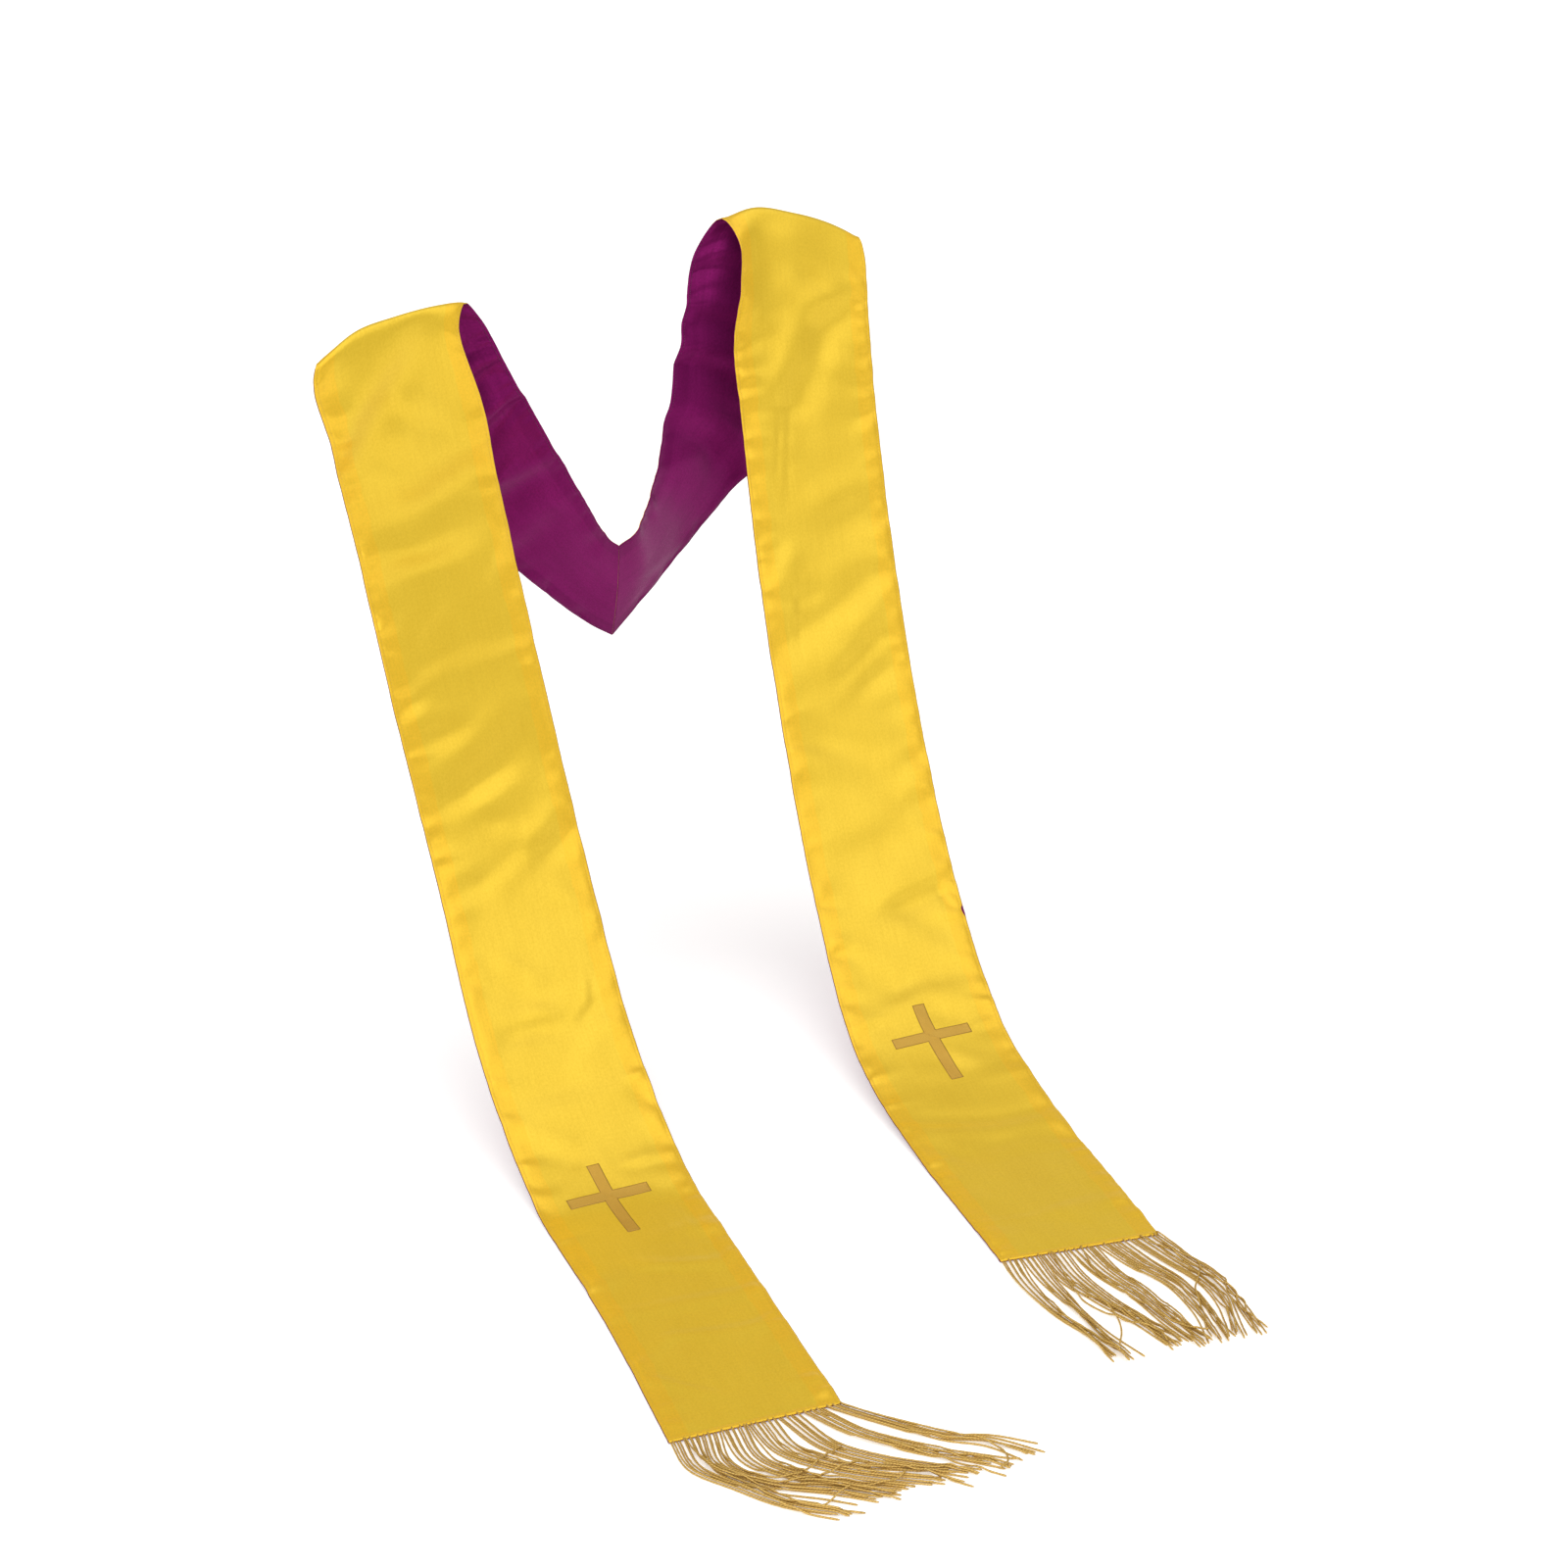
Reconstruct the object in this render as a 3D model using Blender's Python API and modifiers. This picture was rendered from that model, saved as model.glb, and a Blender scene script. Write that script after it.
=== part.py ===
"""A reversible clerical stole, held up by two folds, with its fringed ends lying on the floor.

The stole is two long strips joined by a mitred seam at the back of the neck. Each strip is an outer
cloth and a lining, with a cross laid on its front and a fringe at its hem. From the hem a strip lies
flat on the floor, rises to the fold where it is held, turns over, and runs down to the neck seam.

Units are metres, +Z is up, and +Y points away from the viewer. The origin is the place where the
left fold is held.
"""
import math
from collections import namedtuple

import bmesh
import bpy
import numpy as np
from mathutils import Matrix, Vector

# Sizes of the cut cloth
STOLE_WIDTH = 0.127
CLOTH_THICKNESS = 0.001
PIECE_GAP = 0.0003
COLUMNS = 8

# The folds are held this high above the floor, and each half ends short of the line of the neck seam
HOLD_HEIGHT = 0.618
FLOOR = -HOLD_HEIGHT
LYING_HEIGHT = FLOOR + CLOTH_THICKNESS + PIECE_GAP / 2
SEAM_SETBACK = 0.00055

# Crosses: bars of one width, with the crossing nearer to the upper end
CROSS_BAR = 0.0105
CROSS_ARM = 0.0335
CROSS_HEAD = 0.033
CROSS_FOOT = 0.050
CROSS_TILT = math.radians(3.5)
CROSS_THICKNESS = 0.0008
CROSS_CELL = 0.011

# The crossing of a cross: its distance up from the hem, and how far it lies outward of the middle
CrossPlace = namedtuple("CrossPlace", "above_hem outward")
LEFT_CROSS = CrossPlace(0.315, 0.005)
RIGHT_CROSS = CrossPlace(0.297, 0.002)

# Fringe: a strip at the hem that holds a row of cords. A cord runs in stretches of one length and a
# last one of its own. It has turned aside after the first part of its way, and has come down from
# its arch just before its end
CORDS = 40
CORD_WIDTH = 0.0012
CORD_STRETCHES = 5
CORD_STRETCH = 0.029
CORD_CLEARANCE = 0.0004
LAST_UNEVENNESS = 0.12
TURN_PART = 0.6
ARCH_PART = 0.9
STRIP_DEPTH = 0.005
STRIP_HEIGHT = 0.0020
ROOT_INSET = 0.0002

# A section crosses the strip from its neck edge to its outer edge. Its points are in millimetres,
# evenly spaced over the width, and steps is the number of mesh rows up to the next section.
Section = namedtuple("Section", "place steps across")

LEFT_SECTIONS = [
    Section("hem", 3, [(346, -566, -617), (228, -612, -617)]),
    Section("lying", 3, [(290, -417, -617), (176, -463, -617)]),
    Section("leaving the floor", 4, [(233, -268, -613), (115, -314, -611)]),
    Section("calf", 4, [(184, -158, -544), (66, -206, -541)]),
    Section("knee", 3, [(144, -56, -440), (28, -106, -441)]),
    Section("middle", 3, [(108, 9, -306), (-8, -43, -315)]),
    Section("upper", 3, [(77, 37, -157), (-37, -17, -174)]),
    Section("under the fold", 3, [(65, 32, -78), (36, 20, -84), (7, 2, -90), (-21, -12, -95),
                                  (-49, -28, -98)]),
    Section("front of the fold", 3, [(49, 29, -14), (27, 21, -14), (2, 6, -18), (-29, -12, -27),
                                     (-59, -32, -43)]),
    Section("ridge", 3, [(53, 44, 1), (27, 30, 2), (-1, 13, -2), (-28, -3, -9), (-56, -25, -29)]),
    Section("back of the fold", 2, [(63, 54, -13), (31, 39, -14), (0, 17, -18), (-26, 6, -28),
                                    (-50, -14, -43)]),
    Section("neck, first quarter", 3, [(85, 65, -62), (60, 63, -78), (34, 59, -94), (8, 54, -108),
                                       (-20, 46, -121)]),
    Section("neck, half", 3, [(110, 92, -121), (88, 102, -146), (68, 109, -170), (47, 113, -193),
                              (27, 113, -200)]),
    Section("neck, three quarters", 3, [(134, 126, -182), (104, 158, -236), (77, 172, -270)]),
    Section("beside the seam", 2, [(156, 162, -237), (146, 208, -294), (131, 240, -343)]),
    Section("neck seam", 0, [(164, 170, -246), (159, 216, -305), (151, 260, -362)]),
]

RIGHT_SECTIONS = [
    Section("hem", 3, [(468, -384, -617), (590, -346, -617)]),
    Section("lying", 3, [(418, -250, -617), (543, -206, -617)]),
    Section("leaving the floor", 4, [(365, -113, -587), (489, -72, -583)]),
    Section("calf", 4, [(332, 9, -505), (454, 47, -510)]),
    Section("knee", 3, [(306, 108, -398), (426, 150, -405)]),
    Section("middle", 3, [(284, 195, -277), (404, 237, -285)]),
    Section("upper", 3, [(268, 268, -157), (388, 312, -167)]),
    Section("under the fold", 2, [(262, 294, -105), (292, 310, -104), (322, 321, -106),
                                  (352, 331, -109), (383, 342, -113)]),
    Section("below the fingers", 2, [(269, 322, -46), (288, 342, -42), (318, 352, -47),
                                     (349, 361, -56), (380, 367, -68)]),
    Section("front of the fold", 3, [(265, 337, -18), (284, 356, -12), (316, 366, -18),
                                     (347, 375, -29), (378, 379, -44)]),
    Section("ridge", 3, [(250, 356, -5), (281, 367, 2), (314, 376, -5), (345, 384, -16),
                         (373, 388, -30)]),
    Section("back of the fold", 2, [(229, 356, -31), (265, 366, -20), (300, 379, -21),
                                    (334, 390, -33), (364, 396, -50)]),
    Section("neck, first quarter", 3, [(218, 316, -83), (246, 334, -86), (276, 350, -93),
                                       (306, 362, -105), (334, 368, -122)]),
    Section("neck, half", 3, [(206, 268, -143), (232, 292, -151), (256, 313, -164),
                              (278, 328, -183), (296, 336, -204)]),
    Section("neck, three quarters", 3, [(196, 226, -193), (224, 268, -224), (242, 298, -258)]),
    Section("beside the seam", 2, [(180, 172, -232), (186, 219, -280), (184, 256, -320)]),
    Section("neck seam", 0, [(164, 170, -246), (159, 216, -305), (151, 260, -362)]),
]

# A lock of the fringe: its place across the hem from the neck edge, how far it turns to the viewer's
# right from straight out, how high its cords arch above the floor on their way, and the length of
# their last stretch
Lock = namedtuple("Lock", "across turn_deg arch last_stretch")

LEFT_LOCKS = [
    Lock(0.00, 57, 0.006, 0.028),
    Lock(0.18, 56, 0.003, 0.034),
    Lock(0.36, 53, 0.008, 0.026),
    Lock(0.55, 51, 0.004, 0.033),
    Lock(0.75, 48, 0.007, 0.028),
    Lock(1.00, 46, 0.003, 0.036),
]

RIGHT_LOCKS = [
    Lock(0.00, 14, 0.003, 0.026),
    Lock(0.20, 13, 0.007, 0.026),
    Lock(0.42, 15, 0.004, 0.018),
    Lock(0.60, 13, 0.008, 0.024),
    Lock(0.80, 12, 0.004, 0.028),
    Lock(1.00, 10, 0.006, 0.034),
]

GOLD_SATIN = ("gold_satin", (0.79, 0.56, 0.05), 0.38, 0.0)
PURPLE_SATIN = ("purple_satin", (0.17, 0.012, 0.10), 0.36, 0.0)
METALLIC_GOLD = ("metallic_gold", (0.50, 0.33, 0.10), 0.40, 0.6)
GOLD_CORD = ("gold_cord", (0.52, 0.36, 0.08), 0.50, 0.3)


def new_material(name, colour, roughness, metallic):
    material = bpy.data.materials.get(name)
    if material is None:
        material = bpy.data.materials.new(name)
        material.use_nodes = True
        shader = material.node_tree.nodes["Principled BSDF"]
        shader.inputs["Base Color"].default_value = (*colour, 1.0)
        shader.inputs["Roughness"].default_value = roughness
        shader.inputs["Metallic"].default_value = metallic
    return material


def new_object(name, mesh, look, collection):
    obj = bpy.data.objects.new(name, mesh)
    collection.objects.link(obj)
    mesh.materials.append(new_material(*look))
    return obj


def smooth_rows(rows, steps):
    """A smooth curve through the rows, with a number of steps from each row to the next."""
    rows = np.asarray(rows, dtype=float)
    before = 2 * rows[0] - rows[1]
    after = 2 * rows[-1] - rows[-2]
    guides = np.concatenate([before[None], rows, after[None]])
    made = []
    for index, count in enumerate(steps):
        a, b, c, d = guides[index:index + 4]
        lengths = [np.linalg.norm(q - p, axis=-1).mean() ** 0.5 for p, q in ((a, b), (b, c), (c, d))]
        t1 = lengths[0]
        t2 = t1 + lengths[1]
        t3 = t2 + lengths[2]
        for step in range(count):
            t = t1 + (t2 - t1) * step / count
            ab = (a * (t1 - t) + b * t) / t1
            bc = (b * (t2 - t) + c * (t - t1)) / (t2 - t1)
            cd = (c * (t3 - t) + d * (t - t2)) / (t3 - t2)
            abc = (ab * (t2 - t) + bc * t) / t2
            bcd = (bc * (t3 - t) + cd * (t - t1)) / (t3 - t1)
            made.append((abc * (t2 - t) + bcd * (t - t1)) / (t2 - t1))
    made.append(rows[-1])
    return np.array(made)


def across_section(section, columns):
    """Evenly spaced points over the width of one section, in metres."""
    points = np.array(section.across) / 1000
    spans = len(points) - 1
    return smooth_rows(points, [columns // spans] * spans)


def strip_grid(sections, columns):
    """The middle surface of a strip: rows from the hem to the neck seam, columns from neck to outer."""
    rows = [across_section(section, columns) for section in sections]
    grid = smooth_rows(rows, [section.steps for section in sections[:-1]])
    grid[..., 2] = np.maximum(grid[..., 2], LYING_HEIGHT)
    last_run = grid[-1] - grid[-2]
    grid[-1] -= SEAM_SETBACK * last_run / np.linalg.norm(last_run, axis=-1)[:, None]
    return grid


def strip_normals(grid, side):
    """Unit vectors out of the front of the cloth, for every point of a strip."""
    along, across = np.gradient(grid, axis=0), np.gradient(grid, axis=1)
    normals = side * np.cross(across, along)
    return normals / np.linalg.norm(normals, axis=-1)[..., None]


def cloth_wall(name, points, side, look, collection):
    """A wall of cloth whose near face is the grid of points and whose far face lies to one side."""
    rows, columns = points.shape[:2]
    bm = bmesh.new()
    bmesh.ops.create_grid(bm, x_segments=columns - 1, y_segments=rows - 1, size=1.0)
    bm.verts.ensure_lookup_table()
    for vert, place in zip(bm.verts, points.reshape(-1, 3)):
        vert.co = Vector(place)
    bmesh.ops.triangulate(bm, faces=bm.faces[:], quad_method='FIXED')
    if side < 0:
        bmesh.ops.reverse_faces(bm, faces=bm.faces[:])
    mesh = bpy.data.meshes.new(name)
    bm.to_mesh(mesh)
    bm.free()
    mesh.shade_smooth()
    obj = new_object(name, mesh, look, collection)
    wall = obj.modifiers.new("Wall", 'SOLIDIFY')
    wall.thickness = CLOTH_THICKNESS
    wall.offset = 1.0
    wall.use_even_offset = True
    return obj


def point_on_strip(grid, normals, across, up, lift):
    """A point over the cloth, from distances across from its middle and up from its hem."""
    middle = grid[:, grid.shape[1] // 2]
    heights = np.concatenate([[0.0], np.cumsum(np.linalg.norm(np.diff(middle, axis=0), axis=1))])
    row = np.interp(up, heights, np.arange(len(heights)))
    column = (0.5 + across / STOLE_WIDTH) * (grid.shape[1] - 1)
    row_index, column_index = int(row), int(column)
    row_part, column_part = row - row_index, column - column_index
    place = np.zeros(3)
    out = np.zeros(3)
    for i, j, weight in (
        (0, 0, (1 - row_part) * (1 - column_part)),
        (1, 0, row_part * (1 - column_part)),
        (0, 1, (1 - row_part) * column_part),
        (1, 1, row_part * column_part),
    ):
        place += weight * grid[row_index + i, column_index + j]
        out += weight * normals[row_index + i, column_index + j]
    return Vector(place + lift * out / np.linalg.norm(out))


def evenly(start, end, cell):
    """Places from start to end in steps of about one cell."""
    count = max(1, round((end - start) / cell))
    return [start + (end - start) * index / count for index in range(count)]


def set_cross(along_arm, along_upright, centre, side):
    """Distances across and up the strip for a place on a cross, which is turned a little on it."""
    cos, sin = math.cos(CROSS_TILT), math.sin(CROSS_TILT)
    across = centre.outward + along_arm * cos - side * along_upright * sin
    up = centre.above_hem + along_upright * cos + side * along_arm * sin
    return across, up


def cloth_cross(name, grid, normals, centre, side, collection):
    """A flat cross laid on the front of a strip, following the cloth under it."""
    half = CROSS_BAR / 2
    columns = (evenly(-CROSS_ARM, -half, CROSS_CELL) + evenly(-half, half, CROSS_CELL)
               + evenly(half, CROSS_ARM, CROSS_CELL) + [CROSS_ARM])
    rows = (evenly(-CROSS_FOOT, -half, CROSS_CELL) + evenly(-half, half, CROSS_CELL)
            + evenly(half, CROSS_HEAD, CROSS_CELL) + [CROSS_HEAD])
    lift = CLOTH_THICKNESS + 1.5 * PIECE_GAP
    bm = bmesh.new()
    corners = {}
    for i in range(len(columns) - 1):
        for j in range(len(rows) - 1):
            in_upright = abs(columns[i] + columns[i + 1]) / 2 < half
            in_crossbar = abs(rows[j] + rows[j + 1]) / 2 < half
            if not (in_upright or in_crossbar):
                continue
            loop = [(i, j), (i + 1, j), (i + 1, j + 1), (i, j + 1)]
            for key in loop:
                if key not in corners:
                    across, up = set_cross(columns[key[0]], rows[key[1]], centre, side)
                    place = point_on_strip(grid, normals, across, up, lift)
                    corners[key] = bm.verts.new(place)
            bm.faces.new([corners[key] for key in (loop if side > 0 else loop[::-1])])
    mesh = bpy.data.meshes.new(name)
    bm.to_mesh(mesh)
    bm.free()
    obj = new_object(name, mesh, METALLIC_GOLD, collection)
    wall = obj.modifiers.new("Wall", 'SOLIDIFY')
    wall.thickness = CROSS_THICKNESS
    wall.offset = 1.0
    wall.use_even_offset = True
    return obj


def blend_lock(locks, across):
    """The turn, arch and last stretch of a cord at a place across the hem."""
    places = [lock.across for lock in locks]
    turn = np.interp(across, places, [lock.turn_deg for lock in locks])
    arch = np.interp(across, places, [lock.arch for lock in locks])
    last_stretch = np.interp(across, places, [lock.last_stretch for lock in locks])
    return math.radians(turn), arch, last_stretch


def fringe(name, grid, locks, collection):
    """A strip along the hem with a row of square cords drawn out of its front face."""
    neck, outer = Vector(grid[0, 0]), Vector(grid[0, -1])
    width = (outer - neck).length
    hem = (outer - neck).normalized()
    outward = Vector(grid[0, 0] - grid[1, 0])
    outward = (outward - outward.dot(hem) * hem).normalized()
    bm = bmesh.new()
    bmesh.ops.create_grid(bm, x_segments=CORDS, y_segments=1, size=0.5)
    for vert in bm.verts:
        away = PIECE_GAP + (STRIP_DEPTH if vert.co.y > 0 else 0.0)
        base = neck + hem * (vert.co.x + 0.5) * width + outward * away
        vert.co = Vector((base.x, base.y, FLOOR))
    made = bmesh.ops.extrude_face_region(bm, geom=bm.faces[:])
    raised = [item for item in made["geom"] if isinstance(item, bmesh.types.BMVert)]
    bmesh.ops.translate(bm, verts=raised, vec=(0, 0, STRIP_HEIGHT))
    bmesh.ops.recalc_face_normals(bm, faces=bm.faces[:])
    roots = [face for face in bm.faces if face.normal.dot(outward) > 0.9]
    roots.sort(key=lambda face: (face.calc_center_median() - neck).dot(hem))
    for index, root in enumerate(roots):
        turn, arch, last_stretch = blend_lock(locks, (index + 0.5) / CORDS)
        last_stretch *= 1.0 + LAST_UNEVENNESS * math.sin(2.4 * index)
        draw_cord(bm, root, outward, turn, arch, last_stretch)
    mesh = bpy.data.meshes.new(name)
    bm.to_mesh(mesh)
    bm.free()
    return new_object(name, mesh, GOLD_CORD, collection)


def draw_cord(bm, root, outward, turn, arch, last_stretch):
    """Draw one cord out of a face of the strip: it turns aside, arches a little and ends low."""
    bmesh.ops.inset_individual(bm, faces=[root], thickness=ROOT_INSET)
    centre = root.calc_center_median()
    sideways = Vector((-outward.y, outward.x, 0))
    corners = [(math.copysign(CORD_WIDTH / 2, (vert.co - centre).dot(sideways)),
                math.copysign(CORD_WIDTH / 2, vert.co.z - centre.z)) for vert in root.verts]
    tip = root
    for ring in range(CORD_STRETCHES + 1):
        part = ring / CORD_STRETCHES
        heading = Matrix.Rotation(turn * min(1.0, part / TURN_PART), 3, 'Z') @ outward
        sideways = Vector((-heading.y, heading.x, 0))
        if ring:
            tip = bmesh.ops.extrude_discrete_faces(bm, faces=[tip])["faces"][0]
            centre = centre + heading * (CORD_STRETCH if part < 1 else last_stretch)
        arched = arch * math.sin(math.pi * min(1.0, part / ARCH_PART)) ** 2
        centre.z = FLOOR + CORD_CLEARANCE + CORD_WIDTH / 2 + arched
        for vert, (aside, up) in zip(tip.verts, corners):
            vert.co = centre + sideways * aside + Vector((0, 0, up))


def main():
    for obj in list(bpy.data.objects):
        bpy.data.objects.remove(obj, do_unlink=True)
    collection = bpy.data.collections.new("clerical_stole")
    bpy.context.scene.collection.children.link(collection)
    for hand, side, sections, cross, locks in (
        ("left", -1, LEFT_SECTIONS, LEFT_CROSS, LEFT_LOCKS),
        ("right", 1, RIGHT_SECTIONS, RIGHT_CROSS, RIGHT_LOCKS),
    ):
        grid = strip_grid(sections, COLUMNS)
        normals = strip_normals(grid, side)
        half_gap = PIECE_GAP / 2
        cloth_wall("outer_" + hand, grid + half_gap * normals, side, GOLD_SATIN, collection)
        cloth_wall("lining_" + hand, grid - half_gap * normals, -side, PURPLE_SATIN, collection)
        cloth_cross("cross_" + hand, grid, normals, cross, side, collection)
        fringe("fringe_" + hand, grid, locks, collection)


main()
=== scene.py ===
import math
from collections import namedtuple

import bpy
import numpy as np
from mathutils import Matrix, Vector


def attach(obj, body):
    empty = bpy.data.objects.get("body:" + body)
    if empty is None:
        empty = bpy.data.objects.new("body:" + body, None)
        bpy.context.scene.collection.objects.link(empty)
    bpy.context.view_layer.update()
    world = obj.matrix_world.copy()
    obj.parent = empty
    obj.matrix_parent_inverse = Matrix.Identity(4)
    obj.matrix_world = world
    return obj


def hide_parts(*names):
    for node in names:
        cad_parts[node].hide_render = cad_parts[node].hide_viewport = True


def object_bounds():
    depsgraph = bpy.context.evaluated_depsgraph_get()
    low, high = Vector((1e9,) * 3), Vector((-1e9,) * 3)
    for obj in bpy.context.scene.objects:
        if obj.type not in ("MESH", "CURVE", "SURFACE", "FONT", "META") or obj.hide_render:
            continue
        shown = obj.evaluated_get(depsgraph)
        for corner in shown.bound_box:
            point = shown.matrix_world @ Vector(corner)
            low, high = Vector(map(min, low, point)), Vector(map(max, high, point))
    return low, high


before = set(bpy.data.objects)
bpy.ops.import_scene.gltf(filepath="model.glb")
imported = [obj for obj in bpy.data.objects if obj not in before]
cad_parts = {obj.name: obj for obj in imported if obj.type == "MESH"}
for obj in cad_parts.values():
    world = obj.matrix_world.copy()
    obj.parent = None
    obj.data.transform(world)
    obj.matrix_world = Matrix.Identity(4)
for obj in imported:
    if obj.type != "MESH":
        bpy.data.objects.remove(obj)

cad_low, cad_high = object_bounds()

# The studio: a pale matt floor that glows faintly, pale walls, one very broad soft light nearly
# overhead, and two small lights, in front and at the viewer's right. The viewer stands 2.4 m away.
FLOOR = cad_low.z
FLOOR_SIZE = 60.0
FLOOR_DROP = 0.0002
FLOOR_TONES = ((0.87, 0.87, 0.86, 1.0), (0.90, 0.90, 0.89, 1.0))
FLOOR_ROUGHNESS = 0.85
FLOOR_PATCHES = 3.0
FLOOR_GLOW = 0.33
CAMERA_PLACE = (0.306, -2.386, 0.647)
CAMERA_DOWN_DEG = 23.6
CAMERA_LENS = 72.0
CAMERA_FILM = 36.0
CAMERA_REACH = 100.0
WALL_WHITE = (1.0, 0.99, 0.97)
WALL_LIGHT = 0.43
BROAD_LIGHT = 2.05
BROAD_LIGHT_SPREAD = math.radians(84)
BROAD_LIGHT_RISE = math.radians(72)
BROAD_LIGHT_TURN = math.radians(-14)
StudioLight = namedtuple("StudioLight", "name place aim width height power colour")
STUDIO_LIGHTS = [
    StudioLight("front_light", (-0.5, -3.0, 0.3), (0.2, 0.1, -0.1), 0.9, 0.9, 14.0, (1.0, 0.98, 0.95)),
    StudioLight("side_light", (2.2, -0.97, 0.42), (0.23, 0.33, -0.1), 1.2, 1.0, 4.5, (0.97, 0.98, 1.0)),
]


def place_in_scene(name, data):
    """An object with this data, linked to the scene."""
    made = bpy.data.objects.new(name, data)
    bpy.context.scene.collection.objects.link(made)
    return made


def set_inputs(tree, node, inputs):
    """Sets a node's inputs to values, or links them from the outputs of other nodes."""
    for key, value in inputs.items():
        if isinstance(value, bpy.types.NodeSocket):
            tree.links.new(value, node.inputs[key])
        else:
            node.inputs[key].default_value = value


def add_node(tree, kind, inputs=None, **settings):
    node = tree.nodes.new(kind)
    for key, value in settings.items():
        setattr(node, key, value)
    set_inputs(tree, node, inputs or {})
    return node


def new_shader(name, roughness, metallic=0.0):
    """A material, its node tree and its surface shader."""
    material = bpy.data.materials.new(name)
    material.use_nodes = True
    tree = material.node_tree
    shader = tree.nodes["Principled BSDF"]
    set_inputs(tree, shader, {"Roughness": roughness, "Metallic": metallic})
    return material, tree, shader


def maths(tree, operation, first, second=0.0, third=0.0, clamp=False):
    node = add_node(tree, "ShaderNodeMath", {0: first, 1: second, 2: third}, operation=operation)
    node.use_clamp = clamp
    return node.outputs[0]


def mix_colours(tree, factor, first, second):
    """Two colours mixed. A mix node has sockets for each kind of data, and these are its colour ones."""
    return add_node(tree, "ShaderNodeMix", {0: factor, 6: first, 7: second}, data_type='RGBA').outputs[2]


floor_mesh = bpy.data.meshes.new("studio_floor")
half_floor = FLOOR_SIZE / 2
floor_mesh.from_pydata([(x * half_floor, y * half_floor, FLOOR - FLOOR_DROP)
                        for x, y in ((-1, -1), (1, -1), (1, 1), (-1, 1))], [], [(0, 1, 2, 3)])
studio_floor = place_in_scene("studio_floor", floor_mesh)
floor_paint, paint_tree, paint_shader = new_shader("matt_floor", FLOOR_ROUGHNESS)
patches = add_node(paint_tree, "ShaderNodeTexNoise", {"Scale": FLOOR_PATCHES, "Detail": 4.0})
set_inputs(paint_tree, paint_shader, {
    "Base Color": mix_colours(paint_tree, patches.outputs[0], *FLOOR_TONES),
    "Emission Color": (*WALL_WHITE, 1.0), "Emission Strength": FLOOR_GLOW})
floor_mesh.materials.append(floor_paint)

for light in STUDIO_LIGHTS:
    lamp = bpy.data.lights.new(light.name, 'AREA')
    lamp.shape = 'RECTANGLE'
    lamp.size = light.width
    lamp.size_y = light.height
    lamp.energy = light.power
    lamp.color = light.colour
    stand = place_in_scene(light.name, lamp)
    stand.location = light.place
    towards = Vector(light.aim) - Vector(light.place)
    stand.rotation_euler = towards.to_track_quat('-Z', 'Y').to_euler()

broad = bpy.data.lights.new("broad_light", 'SUN')
broad.energy = BROAD_LIGHT
broad.angle = BROAD_LIGHT_SPREAD
stand = place_in_scene("broad_light", broad)
stand.rotation_euler = (math.pi / 2 - BROAD_LIGHT_RISE, 0.0, BROAD_LIGHT_TURN)

walls = bpy.data.worlds.new("studio_walls")
walls.use_nodes = True
set_inputs(walls.node_tree, walls.node_tree.nodes["Background"],
           {"Color": (*WALL_WHITE, 1.0), "Strength": WALL_LIGHT})
bpy.context.scene.world = walls
bpy.context.scene.view_settings.view_transform = 'Standard'

camera_data = bpy.data.cameras.new("viewer")
camera_data.lens = CAMERA_LENS
camera_data.sensor_width = CAMERA_FILM
camera_data.clip_end = CAMERA_REACH
camera = place_in_scene("viewer", camera_data)
camera.location = CAMERA_PLACE
camera.rotation_euler = (math.radians(90 - CAMERA_DOWN_DEG), 0.0, 0.0)
bpy.context.scene.camera = camera

# The gold outer cloth. Two strips of gold polyester satin, cut 127 mm wide and joined by a mitred
# seam at the back of the neck. Each hangs over its fold to the floor, with soft creases across it and
# short puckers along its sewn edges.
STOLE_WIDTH = 0.127
LYING_HEIGHT = FLOOR + 0.00115
SEAM_SETBACK = 0.0001
ROW_STEP = 0.003
FINE_COLUMNS = 32
FINE_STEPS = 20

# A section of a strip has its number of steps to the next one, and its points from the neck edge to
# the outer edge, in millimetres. Both strips end in the same seam.
NECK_SEAM = (0, [(164, 170, -246), (159, 216, -305), (151, 260, -362)])

LEFT_SECTIONS = {
    "hem": (3, [(346, -566, -617), (228, -612, -617)]),
    "lying": (3, [(290, -417, -617), (176, -463, -617)]),
    "leaving the floor": (4, [(233, -268, -613), (115, -314, -611)]),
    "calf": (4, [(184, -158, -544), (66, -206, -541)]),
    "knee": (3, [(144, -56, -440), (28, -106, -441)]),
    "middle": (3, [(108, 9, -306), (-8, -43, -315)]),
    "upper": (3, [(77, 37, -157), (-37, -17, -174)]),
    "under the fold": (3, [(65, 32, -78), (36, 20, -84), (7, 2, -90), (-21, -12, -95), (-49, -28, -98)]),
    "front of the fold": (3, [(49, 29, -14), (27, 21, -14), (2, 6, -18), (-29, -12, -27), (-59, -32, -43)]),
    "ridge": (3, [(53, 44, 1), (27, 30, 2), (-1, 13, -2), (-28, -3, -9), (-56, -25, -29)]),
    "back of the fold": (2, [(63, 54, -13), (31, 39, -14), (0, 17, -18), (-26, 6, -28), (-50, -14, -43)]),
    "neck, first quarter": (3, [(85, 65, -62), (60, 63, -78), (34, 59, -94), (8, 54, -108),
        (-20, 46, -121)]),
    "neck, half": (3, [(110, 92, -121), (88, 102, -146), (68, 109, -170), (47, 113, -193), (27, 113, -200)]),
    "neck, three quarters": (3, [(134, 126, -182), (104, 158, -236), (77, 172, -270)]),
    "beside the seam": (2, [(156, 162, -237), (146, 208, -294), (131, 240, -343)]),
    "neck seam": NECK_SEAM,
}

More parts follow.
